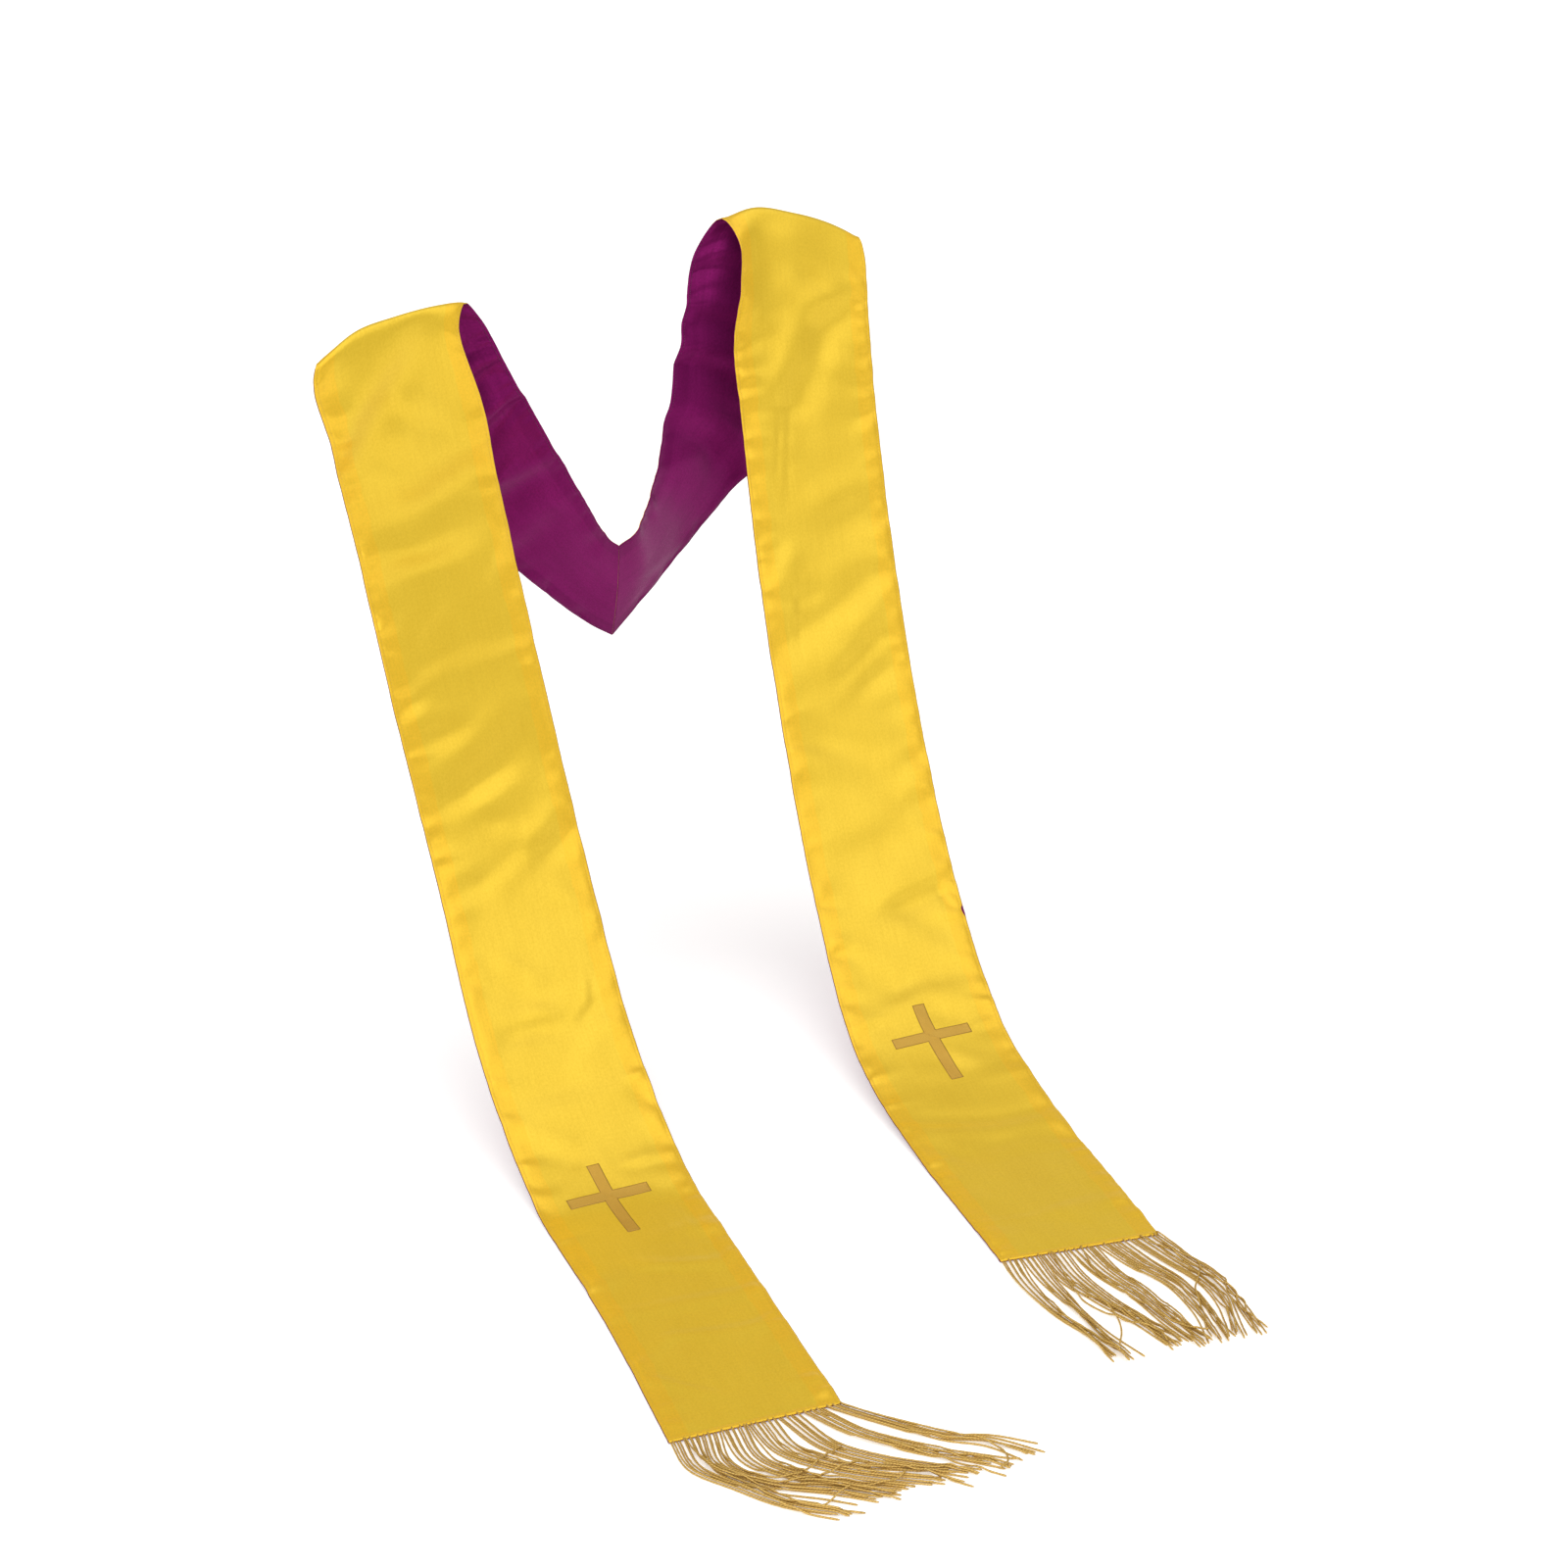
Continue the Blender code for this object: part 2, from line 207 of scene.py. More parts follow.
RIGHT_SECTIONS = {
    "hem": (3, [(468, -384, -617), (590, -346, -617)]),
    "lying": (3, [(418, -250, -617), (543, -206, -617)]),
    "leaving the floor": (4, [(365, -113, -587), (489, -72, -583)]),
    "calf": (4, [(332, 9, -505), (454, 47, -510)]),
    "knee": (3, [(306, 108, -398), (426, 150, -405)]),
    "middle": (3, [(284, 195, -277), (404, 237, -285)]),
    "upper": (3, [(268, 268, -157), (388, 312, -167)]),
    "under the fold": (2, [(262, 294, -105), (292, 310, -104), (322, 321, -106),
        (352, 331, -109), (383, 342, -113)]),
    "below the fingers": (2, [(269, 322, -46), (288, 342, -42), (318, 352, -47),
        (349, 361, -56), (380, 367, -68)]),
    "front of the fold": (3, [(265, 337, -18), (284, 356, -12), (316, 366, -18),
        (347, 375, -29), (378, 379, -44)]),
    "ridge": (3, [(250, 356, -5), (281, 367, 2), (314, 376, -5), (345, 384, -16), (373, 388, -30)]),
    "back of the fold": (2, [(229, 356, -31), (265, 366, -20), (300, 379, -21),
        (334, 390, -33), (364, 396, -50)]),
    "neck, first quarter": (3, [(218, 316, -83), (246, 334, -86), (276, 350, -93),
        (306, 362, -105), (334, 368, -122)]),
    "neck, half": (3, [(206, 268, -143), (232, 292, -151), (256, 313, -164),
        (278, 328, -183), (296, 336, -204)]),
    "neck, three quarters": (3, [(196, 226, -193), (224, 268, -224), (242, 298, -258)]),
    "beside the seam": (2, [(180, 172, -232), (186, 219, -280), (184, 256, -320)]),
    "neck seam": NECK_SEAM,
}

# A soft fold lies across a strip, in millimetres: its middle up from the hem and across from the neck
# edge, its length, its half width, and its turn from straight across. It is a ridge of that height on
# its upper side with a trough below it, or the other way round where the height is negative.
SoftFold = namedtuple("SoftFold", "up across length width height turn")
FOLD_ENDS = 0.56

LEFT_FOLDS = [SoftFold(*row) for row in (
    (58, 90, 60, 6, -0.8, 40),
    (66, 10, 26, 5, -0.7, 15),
    (121, 51, 100, 9, -1.0, 7),
    (167, 54, 100, 10, -1.0, 3),
    (216, 48, 90, 10, -1.2, 18),
    (245, 14, 90, 2.5, 0.3, 86),
    (243, 25, 80, 2.5, 0.25, 90),
    (342, 32, 24, 5, 0.8, -10),
    (413, 59, 110, 12, -1.2, -4),
    (484, 46, 44, 10, 0.8, -23),
    (484, 33, 22, 3.5, 0.6, -43),
    (501, 25, 19, 3, 0.5, -80),
    (523, 100, 40, 10, 1.0, 6),
    (610, 105, 34, 9, 1.2, -11),
    (635, 24, 46, 10, 1.9, -35),
    (707, 67, 112, 14, 2.3, -28),
    (740, 94, 40, 9, 1.4, -8),
    (788, 65, 100, 16, 1.8, -13),
    (857, 14, 36, 9, 1.2, -43),
    (877, 79, 84, 14, 2.5, -7),
    (940, 40, 90, 16, 2.6, -24),
    (1008, 92, 96, 15, 4.0, -51),
    (1002, 46, 22, 2.5, 0.3, 63),
    (982, 22, 40, 2.5, 0.3, 88),
    (1122, 20, 50, 9, 1.1, 5),
    (1166, 38, 80, 11, 3.2, 8),
    (1222, 44, 100, 12, 4.0, 4),
    (1298, 50, 100, 13, 3.6, -21),
    (1352, 70, 80, 14, 1.2, -10),
)]

RIGHT_FOLDS = [SoftFold(*row) for row in (
    (63, 65, 70, 9, -0.9, 8),
    (63, 27, 55, 7, -0.7, -10),
    (155, 19, 55, 8, -0.9, -46),
    (193, 40, 70, 9, -1.3, -14),
    (185, 98, 60, 9, -1.2, 0),
    (299, 116, 26, 4, 0.8, 18),
    (317, 19, 24, 5, 0.7, 21),
    (343, 72, 110, 12, -1.1, 9),
    (391, 19, 24, 6, 0.8, -21),
    (432, 116, 24, 3, 0.6, -67),
    (439, 89, 64, 8, 1.6, 21),
    (462, 66, 110, 14, -1.0, 31),
    (493, 48, 64, 12, 1.0, 18),
    (515, 110, 26, 7, -0.8, 10),
    (554, 51, 90, 14, 1.0, -5),
    (553, 111, 38, 8, -0.9, 31),
    (592, 54, 84, 16, 1.6, -21),
    (642, 87, 54, 8, 1.3, 36),
    (662, 78, 66, 10, 1.6, 42),
    (690, 60, 120, 11, -1.6, 31),
    (702, 29, 60, 2.5, 0.3, 84),
    (708, 30, 50, 10, 0.8, 48),
    (744, 16, 44, 9, -1.4, 53),
    (847, 37, 72, 2.5, 0.3, 82),
    (853, 29, 45, 2.5, 0.3, 82),
    (904, 11, 20, 8, -0.7, 0),
    (941, 14, 22, 8, -0.9, 15),
    (920, 56, 94, 14, 2.5, 61),
    (800, 92, 70, 14, 1.5, 24),
    (980, 92, 60, 13, 2.3, 35),
    (1112, 34, 80, 9, 2.6, 15),
    (1169, 48, 120, 10, 3.8, 5),
    (1214, 54, 120, 10, 3.8, 7),
    (1278, 60, 125, 13, 4.2, 10),
    (1345, 70, 80, 14, 1.2, 6),
)]

# Puckers are short ridges that run in from a sewn edge, drawn between two limits, in metres. A lean is
# sideways for each step inward. The sizes of small folds are in millimetres, as in the tables above.
Puckers = namedtuple("Puckers", "gap reach width height")
LONG_EDGE_PUCKERS = Puckers((0.007, 0.021), (0.010, 0.024), (0.0028, 0.0062), (0.0010, 0.0023))
HEM_PUCKERS = Puckers((0.0030, 0.0055), (0.0040, 0.0080), (0.0010, 0.0018), (0.00020, 0.00045))
SMALL_FOLD_GAP = 0.019
SMALL_FOLD_LENGTH = (22, 75)
SMALL_FOLD_WIDTH = (6, 14)
SMALL_FOLD_HEIGHT = (0.25, 0.85)
SMALL_FOLD_TURN = 48
PUCKER_LEAN = 0.35
PUCKER_START = 0.004
PUCKER_AT_EDGE = 0.3
RAISED_PUCKERS = 0.7
SUNK_PUCKER = -0.6
SEAM_CALM = 0.030
LANDING_END = 0.45
LANDING_FADE = 0.05
LANDING_ROWS = 10
LANDING_TAPER = 2.5

# A sheet of cloth lies on the middle surface between gold and purple. Its face stands this far off
# it, rounds down at the edge, and dips along the stitching. Places are distances in from an edge.
FACE_LIFT = 0.00072
LEAST_LIFT = 0.00022
BACK_LIFT = 0.00004
EDGE_ROUND = 0.00045
EDGE_DROP = 0.00030
STITCH_INSET = 0.0025
HEM_STITCH_INSET = 0.0019
STITCH_DIP = 0.00010
STITCH_DIP_WIDTH = 0.0006
HEM_LIP = 0.00055
HEM_LIP_PLACE = 0.0021
HEM_LIP_WIDTH = 0.0017
HEM_GROOVE = 0.00030
HEM_GROOVE_PLACE = 0.0055
EDGE_COLUMNS = np.array([0.0, 0.0002, 0.0005, 0.0010, 0.0016, 0.0021, 0.0025, 0.0029, 0.0035, 0.0046,
                         0.0062, 0.0084, 0.0110])
SEAM_ROWS = np.array([0.0020, 0.0012, 0.0007, 0.0003, 0.0])
INNER_COLUMNS = 38
RIP_UP = 0.417
RIP_HALF_LENGTH = 0.0045
RIP_DEPTH = 0.0019


def unit(vectors):
    return vectors / np.linalg.norm(vectors, axis=-1, keepdims=True)


def distance_along(path):
    return np.concatenate([[0.0], np.cumsum(np.linalg.norm(np.diff(path, axis=0), axis=1))])


def smooth_rows(rows, steps):
    """A smooth curve through the rows, with a number of steps from each row, or from all, to the next."""
    rows = np.asarray(rows, dtype=float)
    guides = np.concatenate([[2 * rows[0] - rows[1]], rows, [2 * rows[-1] - rows[-2]]])
    made = []
    for index, count in enumerate(np.broadcast_to(steps, len(rows) - 1)):
        a, b, c, d = guides[index:index + 4]
        lengths = [np.linalg.norm(q - p, axis=-1).mean() ** 0.5 for p, q in ((a, b), (b, c), (c, d))]
        t1 = lengths[0]
        t2 = t1 + lengths[1]
        t3 = t2 + lengths[2]
        for step in range(count):
            t = t1 + (t2 - t1) * step / count
            ab = (a * (t1 - t) + b * t) / t1
            bc = (b * (t2 - t) + c * (t - t1)) / (t2 - t1)
            cd = (c * (t3 - t) + d * (t - t2)) / (t3 - t2)
            abc = (ab * (t2 - t) + bc * t) / t2
            bcd = (bc * (t3 - t) + cd * (t - t1)) / (t3 - t1)
            made.append((abc * (t2 - t) + bcd * (t - t1)) / (t2 - t1))
    made.append(rows[-1])
    return np.array(made)


def between(grid, row, column):
    """The grid at fractional rows and columns."""
    i = np.clip(row.astype(int), 0, grid.shape[0] - 2)
    j = np.clip(column.astype(int), 0, grid.shape[1] - 2)
    p, q = (row - i)[..., None], (column - j)[..., None]
    return ((grid[i, j] * (1 - q) + grid[i, j + 1] * q) * (1 - p)
            + (grid[i + 1, j] * (1 - q) + grid[i + 1, j + 1] * q) * p)


def soft_folds(up, across, folds):
    """The height of all the soft folds of a strip at each place on it."""
    height = np.zeros_like(up)
    for fold in folds:
        turn = math.radians(fold.turn)
        from_middle = across * 1000 - fold.across
        from_place = up * 1000 - fold.up
        along = from_middle * math.cos(turn) + from_place * math.sin(turn)
        over = (from_place * math.cos(turn) - from_middle * math.sin(turn)) / fold.width
        ends = np.exp(-np.abs(along / (FOLD_ENDS * fold.length)) ** 3)
        height += fold.height / 1000 * over * np.exp(0.5 - 0.5 * over ** 2) * ends
    return height


def small_folds(length, random):
    """Slight creases all over a strip, on hidden sides too, as a satin keeps from being folded away."""
    return [SoftFold(random.uniform(0, length) * 1000, random.uniform(0, STOLE_WIDTH) * 1000,
                     random.uniform(*SMALL_FOLD_LENGTH), random.uniform(*SMALL_FOLD_WIDTH),
                     random.uniform(*SMALL_FOLD_HEIGHT) * random.choice((-1, 1)),
                     random.uniform(-SMALL_FOLD_TURN, SMALL_FOLD_TURN))
            for _ in range(round(length / SMALL_FOLD_GAP))]


def edge_puckers(up, inward, length, puckers, random):
    """The height of the short uneven ridges that run in from one sewn edge."""
    height = np.zeros_like(up)
    place = random.uniform(*puckers.gap)
    while place < length - puckers.gap[0]:
        reach = random.uniform(*puckers.reach)
        width = random.uniform(*puckers.width)
        lift = random.uniform(*puckers.height) * (1 if random.random() < RAISED_PUCKERS else SUNK_PUCKER)
        lean = random.uniform(-PUCKER_LEAN, PUCKER_LEAN)
        over = (up - place - lean * inward) / (width * (1 + inward / reach))
        rise = PUCKER_AT_EDGE + (1 - PUCKER_AT_EDGE) * (1 - np.exp(-(inward / PUCKER_START) ** 2))
        height += lift * np.exp(-over ** 2) * rise * np.exp(-(inward / reach) ** 2)
        place += random.uniform(*puckers.gap)
    return height


class Strip:
    """One half of the stole: its middle surface, with folds and puckers, and where each point is."""

    def __init__(self, sections, folds, side, seed):
        self.side = side
        guides = [smooth_rows(np.array(points) / 1000, FINE_COLUMNS // (len(points) - 1))
                  for _, points in sections.values()]
        fine = smooth_rows(guides, [steps * FINE_STEPS for steps, _ in sections.values()][:-1])
        far = distance_along(fine[:, FINE_COLUMNS // 2])
        self.length = far[-1] - SEAM_SETBACK
        edge = EDGE_COLUMNS[-1]
        plain = np.linspace(edge, self.length - SEAM_ROWS[0], round(self.length / ROW_STEP))[1:]
        self.rows = np.concatenate([EDGE_COLUMNS, plain, self.length - SEAM_ROWS[1:]])
        inner = np.linspace(edge, STOLE_WIDTH - edge, INNER_COLUMNS + 1)[1:-1]
        self.columns = np.concatenate([EDGE_COLUMNS, inner, STOLE_WIDTH - EDGE_COLUMNS[::-1]])
        self.up, self.across = np.meshgrid(self.rows, self.columns, indexing="ij")
        base = between(fine, np.interp(self.up, far, np.arange(len(far))),
                       self.across / STOLE_WIDTH * FINE_COLUMNS)
        base[..., 2] = self.landed(base[..., 2])
        along = np.gradient(base, self.rows, axis=0)
        cross = np.gradient(base, self.columns, axis=1)
        self.out = unit(side * np.cross(cross, along))
        random = np.random.default_rng(seed)
        calm = np.clip((self.length - self.up) / SEAM_CALM, 0, 1) ** 2
        relief = soft_folds(self.up, self.across, folds + small_folds(self.length, random))
        for inward in (self.across, STOLE_WIDTH - self.across):
            relief += edge_puckers(self.up, inward, self.length, LONG_EDGE_PUCKERS, random)
        relief += edge_puckers(self.across, self.up, STOLE_WIDTH, HEM_PUCKERS, random)
        self.middle = base + self.out * (relief * calm)[..., None]
        self.middle[..., 2] = np.maximum(self.middle[..., 2], LYING_HEIGHT)

    def landed(self, height):
        """The heights with nothing under the floor, and a soft bend where the strip comes down to it."""
        height = np.maximum(height, LYING_HEIGHT)
        steps = np.arange(-LANDING_ROWS, LANDING_ROWS + 1)
        weights = np.exp(-0.5 * (steps * LANDING_TAPER / LANDING_ROWS) ** 2)
        padded = np.pad(height, ((LANDING_ROWS, LANDING_ROWS), (0, 0)), mode="edge")
        soft = sum(weight * padded[k:k + len(height)] for k, weight in enumerate(weights / weights.sum()))
        share = np.clip((LANDING_END - self.up) / LANDING_FADE, 0, 1)
        return height + (soft - height) * share

    def face_lift(self):
        """How far the face of a sheet stands off the middle surface."""
        edge = np.minimum(self.across, STOLE_WIDTH - self.across)
        lift = np.full_like(self.up, FACE_LIFT)
        for inward in (edge, self.up, self.length - self.up):
            lift -= EDGE_DROP * np.exp(-(inward / EDGE_ROUND) ** 2)
        for inward, inset in ((edge, STITCH_INSET), (self.up, HEM_STITCH_INSET)):
            lift -= STITCH_DIP * np.exp(-((inward - inset) / STITCH_DIP_WIDTH) ** 2)
        lift += HEM_LIP * np.exp(-((self.up - HEM_LIP_PLACE) / HEM_LIP_WIDTH) ** 2)
        lift -= HEM_GROOVE * np.exp(-((self.up - HEM_GROOVE_PLACE) / HEM_LIP_WIDTH) ** 2)
        return np.maximum(lift, LEAST_LIFT)

    def place(self, points, up, across):
        """The points of a sheet at any places up it and across it."""
        return between(points, np.interp(up, self.rows, np.arange(len(self.rows))),
                       np.interp(across, self.columns, np.arange(len(self.columns))))


def new_piece(name, points, faces, cloth_places, material, replaces=()):
    """A smooth mesh that rides with the stole, with its places on the cloth as its map, in metres."""
    mesh = bpy.data.meshes.new(name)
    mesh.from_pydata(points.tolist(), [], faces)
    corners = np.empty(len(mesh.loops), dtype=np.int32)
    mesh.loops.foreach_get("vertex_index", corners)
    layer = mesh.uv_layers.new(name="cloth")
    layer.data.foreach_set("uv", cloth_places[corners].astype(np.float32).ravel())
    mesh.shade_smooth()
    mesh.materials.append(material)
    piece = place_in_scene(name, mesh)
    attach(piece, "root")
    if replaces:
        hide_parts(*replaces)
    return piece


def grid_quads(index):
    return np.stack([index[:-1, :-1], index[:-1, 1:], index[1:, 1:], index[1:, :-1]], -1)


def closed_faces(rows, columns, turned):
    """The faces of a thin closed sheet: a face grid, a back grid and the rim between them."""
    index = np.arange(rows * columns).reshape(rows, columns)
    face = grid_quads(index).reshape(-1, 4)
    ring = np.concatenate([index[0, :-1], index[:-1, -1], index[-1, :0:-1], index[:0:-1, 0]])
    after = np.roll(ring, -1)
    total = rows * columns
    rim = np.stack([ring, ring + total, after + total, after], -1)
    faces = np.concatenate([face, face[:, ::-1] + total, rim])
    return (faces[:, ::-1] if turned else faces).tolist()


def cloth_sheet(name, strip, side, material, node, rip=False, overhang=0.0):
    """One sheet of a strip, on the side of the middle surface that it faces. Gives its face too."""
    lift = strip.face_lift()
    middle = strip.middle.copy()
    for edge, inner in ((-1, -3), (0, 2)):
        middle[:, edge] += unit(middle[:, edge] - middle[:, inner]) * overhang
    if rip:
        depth = RIP_DEPTH * np.exp(-((strip.up - RIP_UP) / RIP_HALF_LENGTH) ** 6)
        near = np.exp(-((STOLE_WIDTH - strip.across) / (2 * RIP_DEPTH)) ** 2)
        middle = strip.place(middle, strip.up, strip.across - depth * near)
    facing = side * strip.out
    face = middle + facing * lift[..., None]
    back = middle + facing * BACK_LIFT
    points = np.concatenate([face.reshape(-1, 3), back.reshape(-1, 3)])
    places = np.stack([strip.across.ravel(), strip.up.ravel()], -1)
    faces = closed_faces(*strip.up.shape, turned=side * strip.side < 0)
    piece = new_piece(name, points, faces, np.concatenate([places, places]), material, [node])
    return piece, face


def new_group(name, inputs, outputs):
    """An empty shader node group. Its inputs have values, numbers or vectors, and it gives numbers."""
    group = bpy.data.node_groups.new(name, "ShaderNodeTree")
    for label, value in inputs.items():
        kind = 'NodeSocketVector' if isinstance(value, tuple) else 'NodeSocketFloat'
        group.interface.new_socket(label, in_out='INPUT', socket_type=kind).default_value = value
    for label in outputs:
        group.interface.new_socket(label, in_out='OUTPUT', socket_type='NodeSocketFloat')
    return group, group.nodes.new("NodeGroupInput"), group.nodes.new("NodeGroupOutput")


def stretched_noise(tree, places, scale, detail, roughness=0.5):
    """Noise with one scale across the cloth and another along it."""
    scaled = add_node(tree, "ShaderNodeVectorMath", {0: places, 1: (*scale, 1.0)}, operation='MULTIPLY')
    noise = add_node(tree, "ShaderNodeTexNoise",
                     {"Vector": scaled.outputs[0], "Scale": 1.0, "Detail": detail, "Roughness": roughness})
    return noise.outputs[0]


# Satin weave: long floats lie side by side along the strip, so the surface has fine streaks, a faint
# slub and a slight unevenness of tone. A scale is across the strip and along it, for each metre.
THREADS_PER_METRE = 2400.0
FLOAT_STRETCH = 0.12
FLOAT_HEIGHT = 0.35
SLUB = 0.35
SLUB_SCALE = (420.0, 24.0)
CRUMPLE = 1.1
CRUMPLE_SCALE = (75.0, 95.0)
MOTTLE = 0.45
MOTTLE_SCALE = (30.0, 14.0)
GRAIN = 0.75
GRAIN_SCALE = (620.0, 420.0)
TONE_GAIN = 1.6
TONE_SHIFT = -0.52
weave_tree, weave_in, weave_out = new_group(
    "satin_weave", {"Cloth": (0.0, 0.0, 0.0), "Threads per metre": THREADS_PER_METRE, "Slub": SLUB},
    ("Height", "Tone"))
on_cloth = weave_in.outputs["Cloth"]
thread_scale = weave_in.outputs["Threads per metre"]
threads = add_node(weave_tree, "ShaderNodeCombineXYZ", {
    0: thread_scale, 1: maths(weave_tree, 'MULTIPLY', thread_scale, FLOAT_STRETCH), 2: 1.0})
threaded = add_node(weave_tree, "ShaderNodeVectorMath", {0: on_cloth, 1: threads.outputs[0]},
                    operation='MULTIPLY')
floats = add_node(weave_tree, "ShaderNodeTexNoise",
                  {"Vector": threaded.outputs[0], "Scale": 1.0, "Detail": 1.0})
slubs = stretched_noise(weave_tree, on_cloth, SLUB_SCALE, 2.0)
crumple = stretched_noise(weave_tree, on_cloth, CRUMPLE_SCALE, 3.0)
slub_height = maths(weave_tree, 'MULTIPLY', slubs, weave_in.outputs["Slub"])
thread_height = maths(weave_tree, 'MULTIPLY_ADD', floats.outputs[0], FLOAT_HEIGHT, slub_height)
mottle = stretched_noise(weave_tree, on_cloth, MOTTLE_SCALE, 3.0)
grain = stretched_noise(weave_tree, on_cloth, GRAIN_SCALE, 2.0, 0.7)
fine_tone = maths(weave_tree, 'MULTIPLY_ADD', slubs, 1 - GRAIN, maths(weave_tree, 'MULTIPLY', grain, GRAIN))
fine_tone = maths(weave_tree, 'MULTIPLY_ADD', fine_tone, TONE_GAIN, TONE_SHIFT)
set_inputs(weave_tree, weave_out, {
    "Height": maths(weave_tree, 'MULTIPLY_ADD', crumple, CRUMPLE, thread_height),
    "Tone": maths(weave_tree, 'MULTIPLY_ADD', mottle, MOTTLE, fine_tone)})

# Seam allowance: along every sewn edge the cloth lies double or threefold, and so looks fuller and
# warmer in colour, with a boundary that wanders a little. The stitching lies in a groove.
ALLOWANCE = 0.017
HEM_ALLOWANCE = 0.005
ALLOWANCE_SOFTNESS = 0.0016
HEM_SOFTNESS = 0.002
ALLOWANCE_WANDER = 0.005
WANDER_SCALE = (30.0, 60.0)
GROOVE_REACH = 0.0008
GROOVE_SOFTNESS = 0.0006
edge_tree, edge_in, edge_out = new_group(
    "seam_allowance", {"Cloth": (0.0, 0.0, 0.0), "Strip width": STOLE_WIDTH, "Long edges": ALLOWANCE,
                       "Hem": HEM_ALLOWANCE}, ("Band", "Groove"))
where = add_node(edge_tree, "ShaderNodeSeparateXYZ", {0: edge_in.outputs["Cloth"]})
other_edge = maths(edge_tree, 'SUBTRACT', edge_in.outputs["Strip width"], where.outputs[0])
nearest = maths(edge_tree, 'MINIMUM', where.outputs[0], other_edge)
wander = stretched_noise(edge_tree, edge_in.outputs["Cloth"], WANDER_SCALE, 2.0)
wandered = maths(edge_tree, 'MULTIPLY_ADD', wander, ALLOWANCE_WANDER,
                 maths(edge_tree, 'SUBTRACT', nearest, ALLOWANCE_WANDER / 2))


def band(tree, distance, reach, softness):
    """One inside a band along an edge and none beyond it."""
    over = maths(tree, 'SUBTRACT', reach, distance)
    return maths(tree, 'DIVIDE', over, softness, clamp=True)


long_band = band(edge_tree, wandered, edge_in.outputs["Long edges"], ALLOWANCE_SOFTNESS)
hem_band = band(edge_tree, where.outputs[1], edge_in.outputs["Hem"], HEM_SOFTNESS)
off_stitches = maths(edge_tree, 'ABSOLUTE', maths(edge_tree, 'SUBTRACT', nearest, STITCH_INSET))
set_inputs(edge_tree, edge_out, {
    "Band": maths(edge_tree, 'MAXIMUM', long_band, hem_band),
    "Groove": band(edge_tree, off_stitches, GROOVE_REACH, GROOVE_SOFTNESS)})

# How far the weave's tone darkens the colour, how dark the painted shade in the stitching groove is, how
# much the roughness varies, the weave's bump, how the gloss fades at glancing angles, and how far the floats
# stretch it.
TONE_CONTRAST = (1.1, -0.28)
GROOVE_SHADE = 0.35
ROUGHNESS_RANGE = 0.12
WEAVE_BUMP = 0.5
WEAVE_DEPTH = 0.0003
GLANCING_FADE = 1.3
SATIN_ANISOTROPY = 0.6


def satin(name, centre, allowance, dark, gloss, specular, metallic, roughness):
    """A satin with its weave, and its own colours in the middle, on the allowance and in the groove."""
    material, tree, shader = new_shader(name, roughness, metallic)
    cloth = add_node(tree, "ShaderNodeUVMap", uv_map="cloth").outputs[0]
    weave = add_node(tree, "ShaderNodeGroup", {"Cloth": cloth}, node_tree=weave_tree).outputs
    edges = add_node(tree, "ShaderNodeGroup", {"Cloth": cloth}, node_tree=edge_tree).outputs
    banded = mix_colours(tree, edges["Band"], centre, allowance)
    tone = maths(tree, 'MULTIPLY_ADD', weave["Tone"], *TONE_CONTRAST, clamp=True)
    toned = mix_colours(tree, tone, banded, dark)
    # Along the stitching groove the colour is darkened towards the dark one: painted shade.
    grooved = mix_colours(tree, maths(tree, 'MULTIPLY', edges["Groove"], GROOVE_SHADE), toned, dark)
    uneven = maths(tree, 'MULTIPLY_ADD', weave["Tone"], ROUGHNESS_RANGE, roughness - ROUGHNESS_RANGE / 2)
    bump = add_node(tree, "ShaderNodeBump", {"Height": weave["Height"], "Strength": WEAVE_BUMP,
                                             "Distance": WEAVE_DEPTH})
    glancing = add_node(tree, "ShaderNodeLayerWeight", {"Blend": 0.5}).outputs["Facing"]
    faded = maths(tree, 'POWER', glancing, GLANCING_FADE)
    tangent = add_node(tree, "ShaderNodeTangent", direction_type='UV_MAP', uv_map="cloth")
    set_inputs(tree, shader, {
        "Base Color": grooved, "Roughness": uneven, "Normal": bump.outputs[0],
        "Metallic": maths(tree, 'MULTIPLY_ADD', faded, -metallic, metallic),
        "Specular IOR Level": specular, "Specular Tint": gloss,
        "Anisotropic": SATIN_ANISOTROPY, "Tangent": tangent.outputs[0]})
    return material


gold_satin = satin("gold_satin", centre=(0.750, 0.508, 0.034, 1.0), allowance=(0.80, 0.490, 0.026, 1.0),
                   dark=(0.62, 0.397, 0.016, 1.0), gloss=(1.0, 0.97, 0.85, 1.0),
                   specular=0.38, metallic=0.43, roughness=0.38)
purple_satin = satin("purple_satin", centre=(0.215, 0.010, 0.116, 1.0),
                     allowance=(0.182, 0.008, 0.098, 1.0), dark=(0.095, 0.004, 0.047, 1.0),
                     gloss=(0.95, 0.25, 0.75, 1.0), specular=0.05, metallic=0.42, roughness=0.32)

strips = {"left": Strip(LEFT_SECTIONS, LEFT_FOLDS, -1, 11),
          "right": Strip(RIGHT_SECTIONS, RIGHT_FOLDS, 1, 23)}
gold_sheets, gold_faces = {}, {}
for hand, strip in strips.items():
    gold_sheets[hand], gold_faces[hand] = cloth_sheet(
        "gold_cloth_" + hand, strip, 1, gold_satin, "outer_" + hand, rip=hand == "right")

# The purple lining. Two strips of the same cut in purple satin, sewn to the gold along both long
# edges and the hem, so that the stole can be worn with either colour outwards.
LINING_OVERHANG = 0.0004
purple_sheets, purple_faces = {}, {}
for hand, strip in strips.items():
    purple_sheets[hand], purple_faces[hand] = cloth_sheet(
        "purple_lining_" + hand, strip, -1, purple_satin, "lining_" + hand,
        overhang=LINING_OVERHANG)

